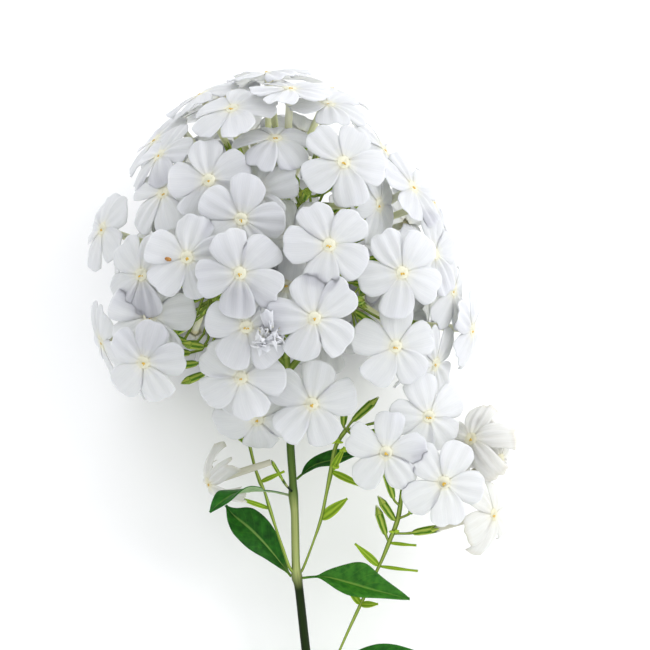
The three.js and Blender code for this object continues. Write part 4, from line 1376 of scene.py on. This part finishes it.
bm = new_bmesh()
for poses in groups.values():
    for pose in poses:
        mouth = pose["at"] - pose["facing"] * (TUBE_LENGTH + GAP)
        base = mouth - pose["facing"] * CALYX_LENGTH
        add_stalk(bm, root_of(base, pose["facing"]), base, mouth, CALYX, STALK)
for bud in HEAD_BUDS:
    facing = turn(*facing_of(bud))
    mouth = lay((bud["x"], bud["h"], bud["d"]))
    base = mouth - facing * CALYX_LENGTH
    add_stalk(bm, root_of(base, facing), base, mouth, CALYX, STALK, closed=True)
for spot, hub in zip(hub_spots, hubs):
    foot = axis_at(min(max(spot["at"].y - BRANCH_RISE, BRANCH_LOWEST), BRANCH_HIGHEST))
    points, radii = smooth_line([foot, foot.lerp(hub, 0.5), hub], BRANCH_RADII, BRANCH_STEPS)
    sweep(bm, points, radii, BRANCH_SIDES, STALK)
    bmesh.ops.create_icosphere(bm, subdivisions=2, radius=HUB_RADIUS, matrix=Matrix.Translation(hub))
middles, radii = [axis_at(h) for h, _ in AXIS_LINE], [radius for _, radius in AXIS_LINE]
points, radii = smooth_line(middles, radii, AXIS_STEPS)
sweep(bm, points, radii, AXIS_SIDES, STALK)
print("faces in the head's stalks", len(bm.faces))
finish_piece(bm, "head_stalks_fine", [calyx_green, stem_green], ["head_stalks"])

# %% [markdown]
# ## Blades
#
# A leaf or a bract is one grid, bent along a smooth line and folded on its midrib. A
# formula gives its width at each place, so an outline needs no cutting, and the rows of
# the grid run along the leaf as its fibres do. The margins wave a little. The veins of a
# leaf are pressed in, with the same count and slant as in the leaf's material. A blade
# can also twist, so that its outer half shows its underside.

# %% Blades
BLADE_NARROWEST = 0.35
BLADE_STEPS = 16  # points on the midrib between two of its joints
MARGIN_WAVE = 0.12
MARGIN_TURNS = 9  # radians of the wave along the blade
SIDE_VEIN_DEPTH = 0.16
MIDRIB_DEPTH = 0.25
MIDRIB_HALF = 0.08
TWIST_FROM = 0.45
TWIST_TO = 0.9


def leaf_width(t, fullest, petiole, drawn):
    """The share of the full width at t. drawn pulls the tip out to a narrow point."""
    share = min(max(t - petiole, 0.0) / (1 - petiole), 1.0)
    return max(math.sin(math.pi * share**fullest), 0.0) * (1 - drawn * smoothstep(t, 0.6, 0.95))


def vein_depth(t, s, veins):
    """How deep the veins are pressed in at a place of the blade."""
    lead = (t - VEIN_LEAN * abs(s)) * veins
    side = SIDE_VEIN_DEPTH * (1 - abs(math.sin(math.pi * lead))) ** 3 * (1 - s * s)
    return side + MIDRIB_DEPTH * math.exp(-((s / MIDRIB_HALF) ** 2))


def add_blade(
    bm, spine, half, front_way, fold_deg, grid, fullest,
    wave=0.0, veins=0, tip_way=None, petiole=0.0, drawn=0.0,
):
    """A blade along a spine, folded on its midrib. tip_way turns the outer half another way."""
    line, _ = smooth_line(spine, [0] * len(spine), BLADE_STEPS)
    fold = math.radians(fold_deg)
    made = new_grid(bm, grid, 0)
    for v in made:
        t, s = (v.co.x + 1) / 2, v.co.y
        place = t * (len(line) - 1)
        low = min(int(place), len(line) - 2)
        point = line[low].lerp(line[low + 1], place - low)
        ahead = (line[low + 1] - line[low]).normalized()
        way = front_way.lerp(tip_way, smoothstep(t, TWIST_FROM, TWIST_TO)) if tip_way else front_way
        side = ahead.cross(way).normalized()
        rise = side.cross(ahead)
        width = max(half * leaf_width(t, fullest, petiole, drawn), BLADE_NARROWEST)
        out = abs(s) * width * math.sin(fold)
        # the two margins wave out of step
        out += wave * width * MARGIN_WAVE * s * s * math.sin(MARGIN_TURNS * t + (2 if s > 0 else 0))
        if veins:
            out -= vein_depth(t, s, veins)
        v.co = point + side * (-s * width * math.cos(fold)) + rise * out
    faces = list(faces_of(made))
    for face in faces:
        face.normal_update()
    if sum(face.normal.dot(front_way) for face in faces) < 0:
        bmesh.ops.reverse_faces(bm, faces=faces)


print("the veins lean", VEIN_LEAN, "of the blade's length towards the tip")

# %% [markdown]
# ## Stems and bracts
#
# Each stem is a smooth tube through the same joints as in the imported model. It is a
# little wider at its nodes, where leaves and branches leave it, so the radius is given
# at every joint and eases from one to the next. The stalks and buds that a stem carries
# are part of its piece. Its narrow bracts are thin sheets, so they are a piece of their
# own with a thickness.

# %% Joints of the stems: x, h, d and the radius
STEM_LINES = {
    "stem": [
        (7.4, 0, 0, STEM_CUT_RADIUS), (6.2, 19, 0, 1.6), (5, 34, 0, 1.55), (4.7, 38.2, 0, 1.9),
        (4.1, 43, 0, 1.5), (2, 60.3, 0, 1.5), (-0.2, 80.1, 0, 1.45), (-1, 84.8, 0, 1.85),
        (-1.4, 90, 0, 1.4), (-1.7, 105.2, 0, 1.35), (-2.2, 111.9, 0, 1.65), (-2.4, 117.3, 0, 1.3),
        (NECK_X, NECK_H + 2 * GAP, 0, 1.36), (-3.3, 134.5, 0, 1.34),
    ],
    "side_stem_left": [
        (-1.9, 86, 0.2, 0.55), (-3.6, 88.4, 1.4, 0.55), (-5.4, 94, 4.8, 0.5), (-7.6, 100.7, 7, 0.45),
        (-10, 108.4, 8, 0.65), (-11.7, 114.1, 9, 0.45), (-13.1, 117.2, 10, 0.7),
        (-14.9, 122.5, 11, 0.5), (-16.9, 131, 11, 0.6),
    ],
    "side_stem_right": [
        (-0.3, 85.9, -0.7, 0.5), (1.1, 87.7, -0.9, 0.45), (4.3, 96.2, 2, 0.38), (7.1, 104.6, 5, 0.6),
        (8.7, 112.4, 8, 0.55), (10.4, 120.8, 10, 0.85), (12, 129.2, 11, 0.7), (15.3, 134.5, 12, 0.8),
    ],
    "side_spray_stem": [
        (5.4, 40.8, -0.9, 0.55), (7.1, 42.7, -1.4, 0.5), (9.1, 49, 0, 0.4), (13.4, 60.7, 2, 0.4),
        (20.3, 75.9, 2.5, 0.6), (26.5, 88.7, 2.5, 0.55), (29.7, 96.7, 5, 0.75),
        (32.6, 104.8, 7.5, 0.85), (33.9, 113.8, 9, 0.7),
    ],
}
print("stems", list(STEM_LINES))

# %% Buds and bracts on the stems
SIDE_BUDS = [
    dict(on="side_stem_right", base=(17.5, 137.5, 12), mouth=(24.5, 144, 14)),
    dict(on="side_stem_right", base=(18, 133, 13), mouth=(27.5, 134, 17)),
    dict(on="side_stem_right", base=(14.5, 136, 11), mouth=(15, 145, 13)),
    dict(on="side_spray_stem", base=(33.9, 113, 9), mouth=(36.5, 122, 10)),
    dict(on="side_spray_stem", base=(31.4, 104.5, 8), mouth=(27, 111, 11)),
    dict(on="side_spray_stem", base=(28.6, 99.5, 6), mouth=(26, 107.5, 8.5)),
    dict(on="side_stem_left", base=(-18, 130.5, 11.5), mouth=(-24, 137, 13)),
]

BUD_TUFTS = [
    dict(on="side_stem_right", at=(12.3, 130.5, 12.5), count=9, room=2.6),
    dict(on="side_stem_right", at=(14.5, 127.5, 13), count=5, room=2.0),
    dict(on="side_stem_right", at=(11.9, 121.9, 11.5), count=6, room=1.8),
    dict(on="side_spray_stem", at=(31.5, 100.5, 7.5), count=4, room=1.8),
]

BRACTS = [
    dict(on="side_stem_left", root=(-10, 108.2, 7), tip=(-21.3, 112.4, 10), half=0.8),
    dict(on="side_stem_left", root=(-13.1, 117.2, 10), tip=(-5, 121, 14), half=0.8),
    dict(on="side_stem_right", root=(7.1, 104.6, 5), tip=(15.8, 111.7, 9), half=1.9),
    dict(on="side_stem_right", root=(10.4, 120.8, 10), tip=(22, 115.5, 13), half=1.2),
    dict(on="side_stem_right", root=(10.4, 120.8, 10), tip=(14.8, 129, 14), half=1.2),
    dict(on="side_spray_stem", root=(20.3, 75.9, 2.5), tip=(15.6, 82.5, 6), half=1.2),
    dict(on="side_spray_stem", root=(20.3, 75.9, 2.5), tip=(26, 76.5, 7), half=1.2),
    dict(on="side_spray_stem", root=(26.5, 88.7, 2.5), tip=(18.4, 96.6, 8), half=1.3),
    dict(on="side_spray_stem", root=(26.5, 88.7, 2.5), tip=(39.4, 87.2, 4), half=0.6),
    dict(on="side_spray_stem", root=(29.7, 96.7, 5), tip=(38.8, 96, 7), half=0.6),
]
print("buds", len(SIDE_BUDS), "tufts", len(BUD_TUFTS), "bracts", len(BRACTS))

# %% Helpers for the stems
BRACT_FOLD = 15
BRACT_GRID = (14, 6)
BRACT_FULLEST = 0.7
BRACT_THICKNESS = 0.3
BRACT_FRONT = turn(0, 0.3, 0.95)


def add_bud_tuft(bm, tuft, material):
    """Narrow young buds that spread from one point of a stem."""
    rng = random.Random(tuft["count"])
    for _ in range(tuft["count"]):
        ahead = turn(rng.uniform(-1, 1), rng.uniform(-0.1, 1), rng.uniform(-0.3, 1)).normalized()
        side = ahead.orthogonal().normalized()
        length = tuft["room"] * rng.uniform(0.6, 1)
        radii = (rng.uniform(0.4, 0.55), rng.uniform(0.4, 0.55), length / 2 + 0.2)
        centre = lay(tuft["at"]) + ahead * length / 2
        add_blob(bm, centre, (side, ahead.cross(side), ahead), radii, material)


def add_bract(bm, bract):
    """A narrow blade that arches a little from its root to its tip."""
    root, tip = Vector(bract["root"]), Vector(bract["tip"])
    middle = (root + tip) / 2 + Vector((0, 0, 1))
    spine = [lay(root), lay(middle), lay(tip)]
    add_blade(bm, spine, bract["half"], BRACT_FRONT, BRACT_FOLD, BRACT_GRID, BRACT_FULLEST)


def on(name, entries):
    """The entries of a list that belong to one stem."""
    return [entry for entry in entries if entry["on"] == name]


print("each bract has", BRACT_GRID[0] * BRACT_GRID[1], "faces")

# %% Stems
SKIN, CUP, YOUNG = range(3)  # the order of a stem piece's materials
STEM_STEPS = 5
MAIN_STEM_SIDES, SIDE_STEM_SIDES = 18, 12

for name, line in STEM_LINES.items():
    bm = new_bmesh()
    joints = [lay(joint) for joint in line]
    points, radii = smooth_line(joints, [joint[3] for joint in line], STEM_STEPS)
    sides = MAIN_STEM_SIDES if name == "stem" else SIDE_STEM_SIDES
    sweep(bm, points, radii, sides, SKIN)
    for entry in on(name, SIDE_LIST):
        facing = (lay(entry["throat"]) - lay(entry["tube_end"])).normalized()
        mouth = lay(entry["tube_end"]) - facing * GAP
        root, base = lay(entry["root"]), lay(entry["calyx_base"])
        add_stalk(bm, root, base, mouth, CUP, SKIN, girth=entry.get("girth", 1.0))
    for bud in on(name, SIDE_BUDS):
        base, mouth = lay(bud["base"]), lay(bud["mouth"])
        root = min(joints, key=lambda joint: (joint - base).length)
        add_stalk(bm, root, base, mouth, CUP, SKIN, closed=True)
    for tuft in on(name, BUD_TUFTS):
        add_bud_tuft(bm, tuft, YOUNG)
    skin = stem_old if name == "stem" else stem_green
    finish_piece(bm, name + "_fine", [skin, calyx_green, bract_green], [name])
    bracts = on(name, BRACTS)
    if bracts:
        bm = new_bmesh()
        for bract in bracts:
            add_bract(bm, bract)
        finish_piece(bm, name + "_bracts", [bract_green], [name], BRACT_THICKNESS)
    print(name, "with", len(bracts), "bracts")

# %% [markdown]
# ## Leaves
#
# The leaves stand in opposite pairs at the nodes of the stem, each with its own bend,
# width and way of facing. Each is one blade, and its base runs on to the stem, past the
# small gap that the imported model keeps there. The underside has a paler green of its
# own, which shows where the upper left leaf turns over.

# %% Leaves
LEAVES = [
    dict(name="leaf_lower_left", half=6.5, front=(-0.1, 0.3, 0.95),
         spine=[(2.3, 39.6, 0.6), (-8, 46, 5), (-19, 50, 7), (-31, 48, 4)]),
    dict(name="leaf_lower_right", half=7, front=(0.1, 0.3, 0.95),
         spine=[(7.2, 39.6, 0.8), (17, 51, 6), (29, 58.5, 8), (42, 59.5, 6)]),
    dict(name="leaf_middle_left", half=6.4, front=(0.2, 0.3, 0.93), fullest=0.95,
         petiole=0.05, drawn=0.65,
         spine=[(-3.4, 85.6, -0.4), (-10.1, 94.2, 0.5), (-16.2, 100.8, 2), (-22, 105.6, 2),
                (-24.8, 108.9, 1)]),
    # this leaf is marked bright: its green has painted light
    dict(name="leaf_middle_right", half=7.3, front=(0, 0.56, 0.83), fold=34, fullest=1.1,
         petiole=0.17, bright=True,
         spine=[(1.4, 84.6, 0.8), (7.9, 85.4, 5), (15.9, 83.8, 8), (23.8, 81.6, 9), (36.6, 78.1, 6)]),
    dict(name="leaf_upper_left", half=4.6, front=(0, 0.97, -0.2), tip_front=(-0.2, 0.5, 0.85), petiole=0.3,
         spine=[(-4.3, 112.6, 0.5), (-9.5, 114.4, 11), (-15, 115.2, 21), (-21, 114.6, 29), (-25.5, 112, 34),
                (-28.5, 109.2, 37)]),
    dict(name="leaf_upper_right", half=3.8, front=(-0.2, 0.75, 0.6), petiole=0.1,
         spine=[(-0.45, 118.2, -0.5), (4.5, 122, -3), (10.5, 123.8, -5), (16.5, 125.2, -6.5),
                (22.6, 126.4, -7)]),
]
LEAF_FOLD = 18
LEAF_FULLEST = 0.75
LEAF_DRAWN = 0.2
LEAF_GRID = (40, 16)
LEAF_THICKNESS = 0.35
LEAF_REACH_IN = 0.9

for entry in LEAVES:
    bm = new_bmesh()
    tip_way = turn(*entry["tip_front"]) if "tip_front" in entry else None
    spine = [lay(point) for point in entry["spine"]]
    spine[0] += (spine[0] - spine[1]).normalized() * LEAF_REACH_IN
    add_blade(
        bm, spine, entry["half"], turn(*entry["front"]), entry.get("fold", LEAF_FOLD), LEAF_GRID,
        entry.get("fullest", LEAF_FULLEST), wave=1.0, veins=SIDE_VEINS, tip_way=tip_way,
        petiole=entry.get("petiole", 0.0), drawn=entry.get("drawn", LEAF_DRAWN),
    )
    # a leaf marked bright takes the leaf green with painted light
    face = leaf_bright if "bright" in entry else leaf_green
    finish_piece(
        bm, entry["name"] + "_fine", [face, leaf_under], [entry["name"]],
        LEAF_THICKNESS, under=1,
    )
print("leaves", len(LEAVES))
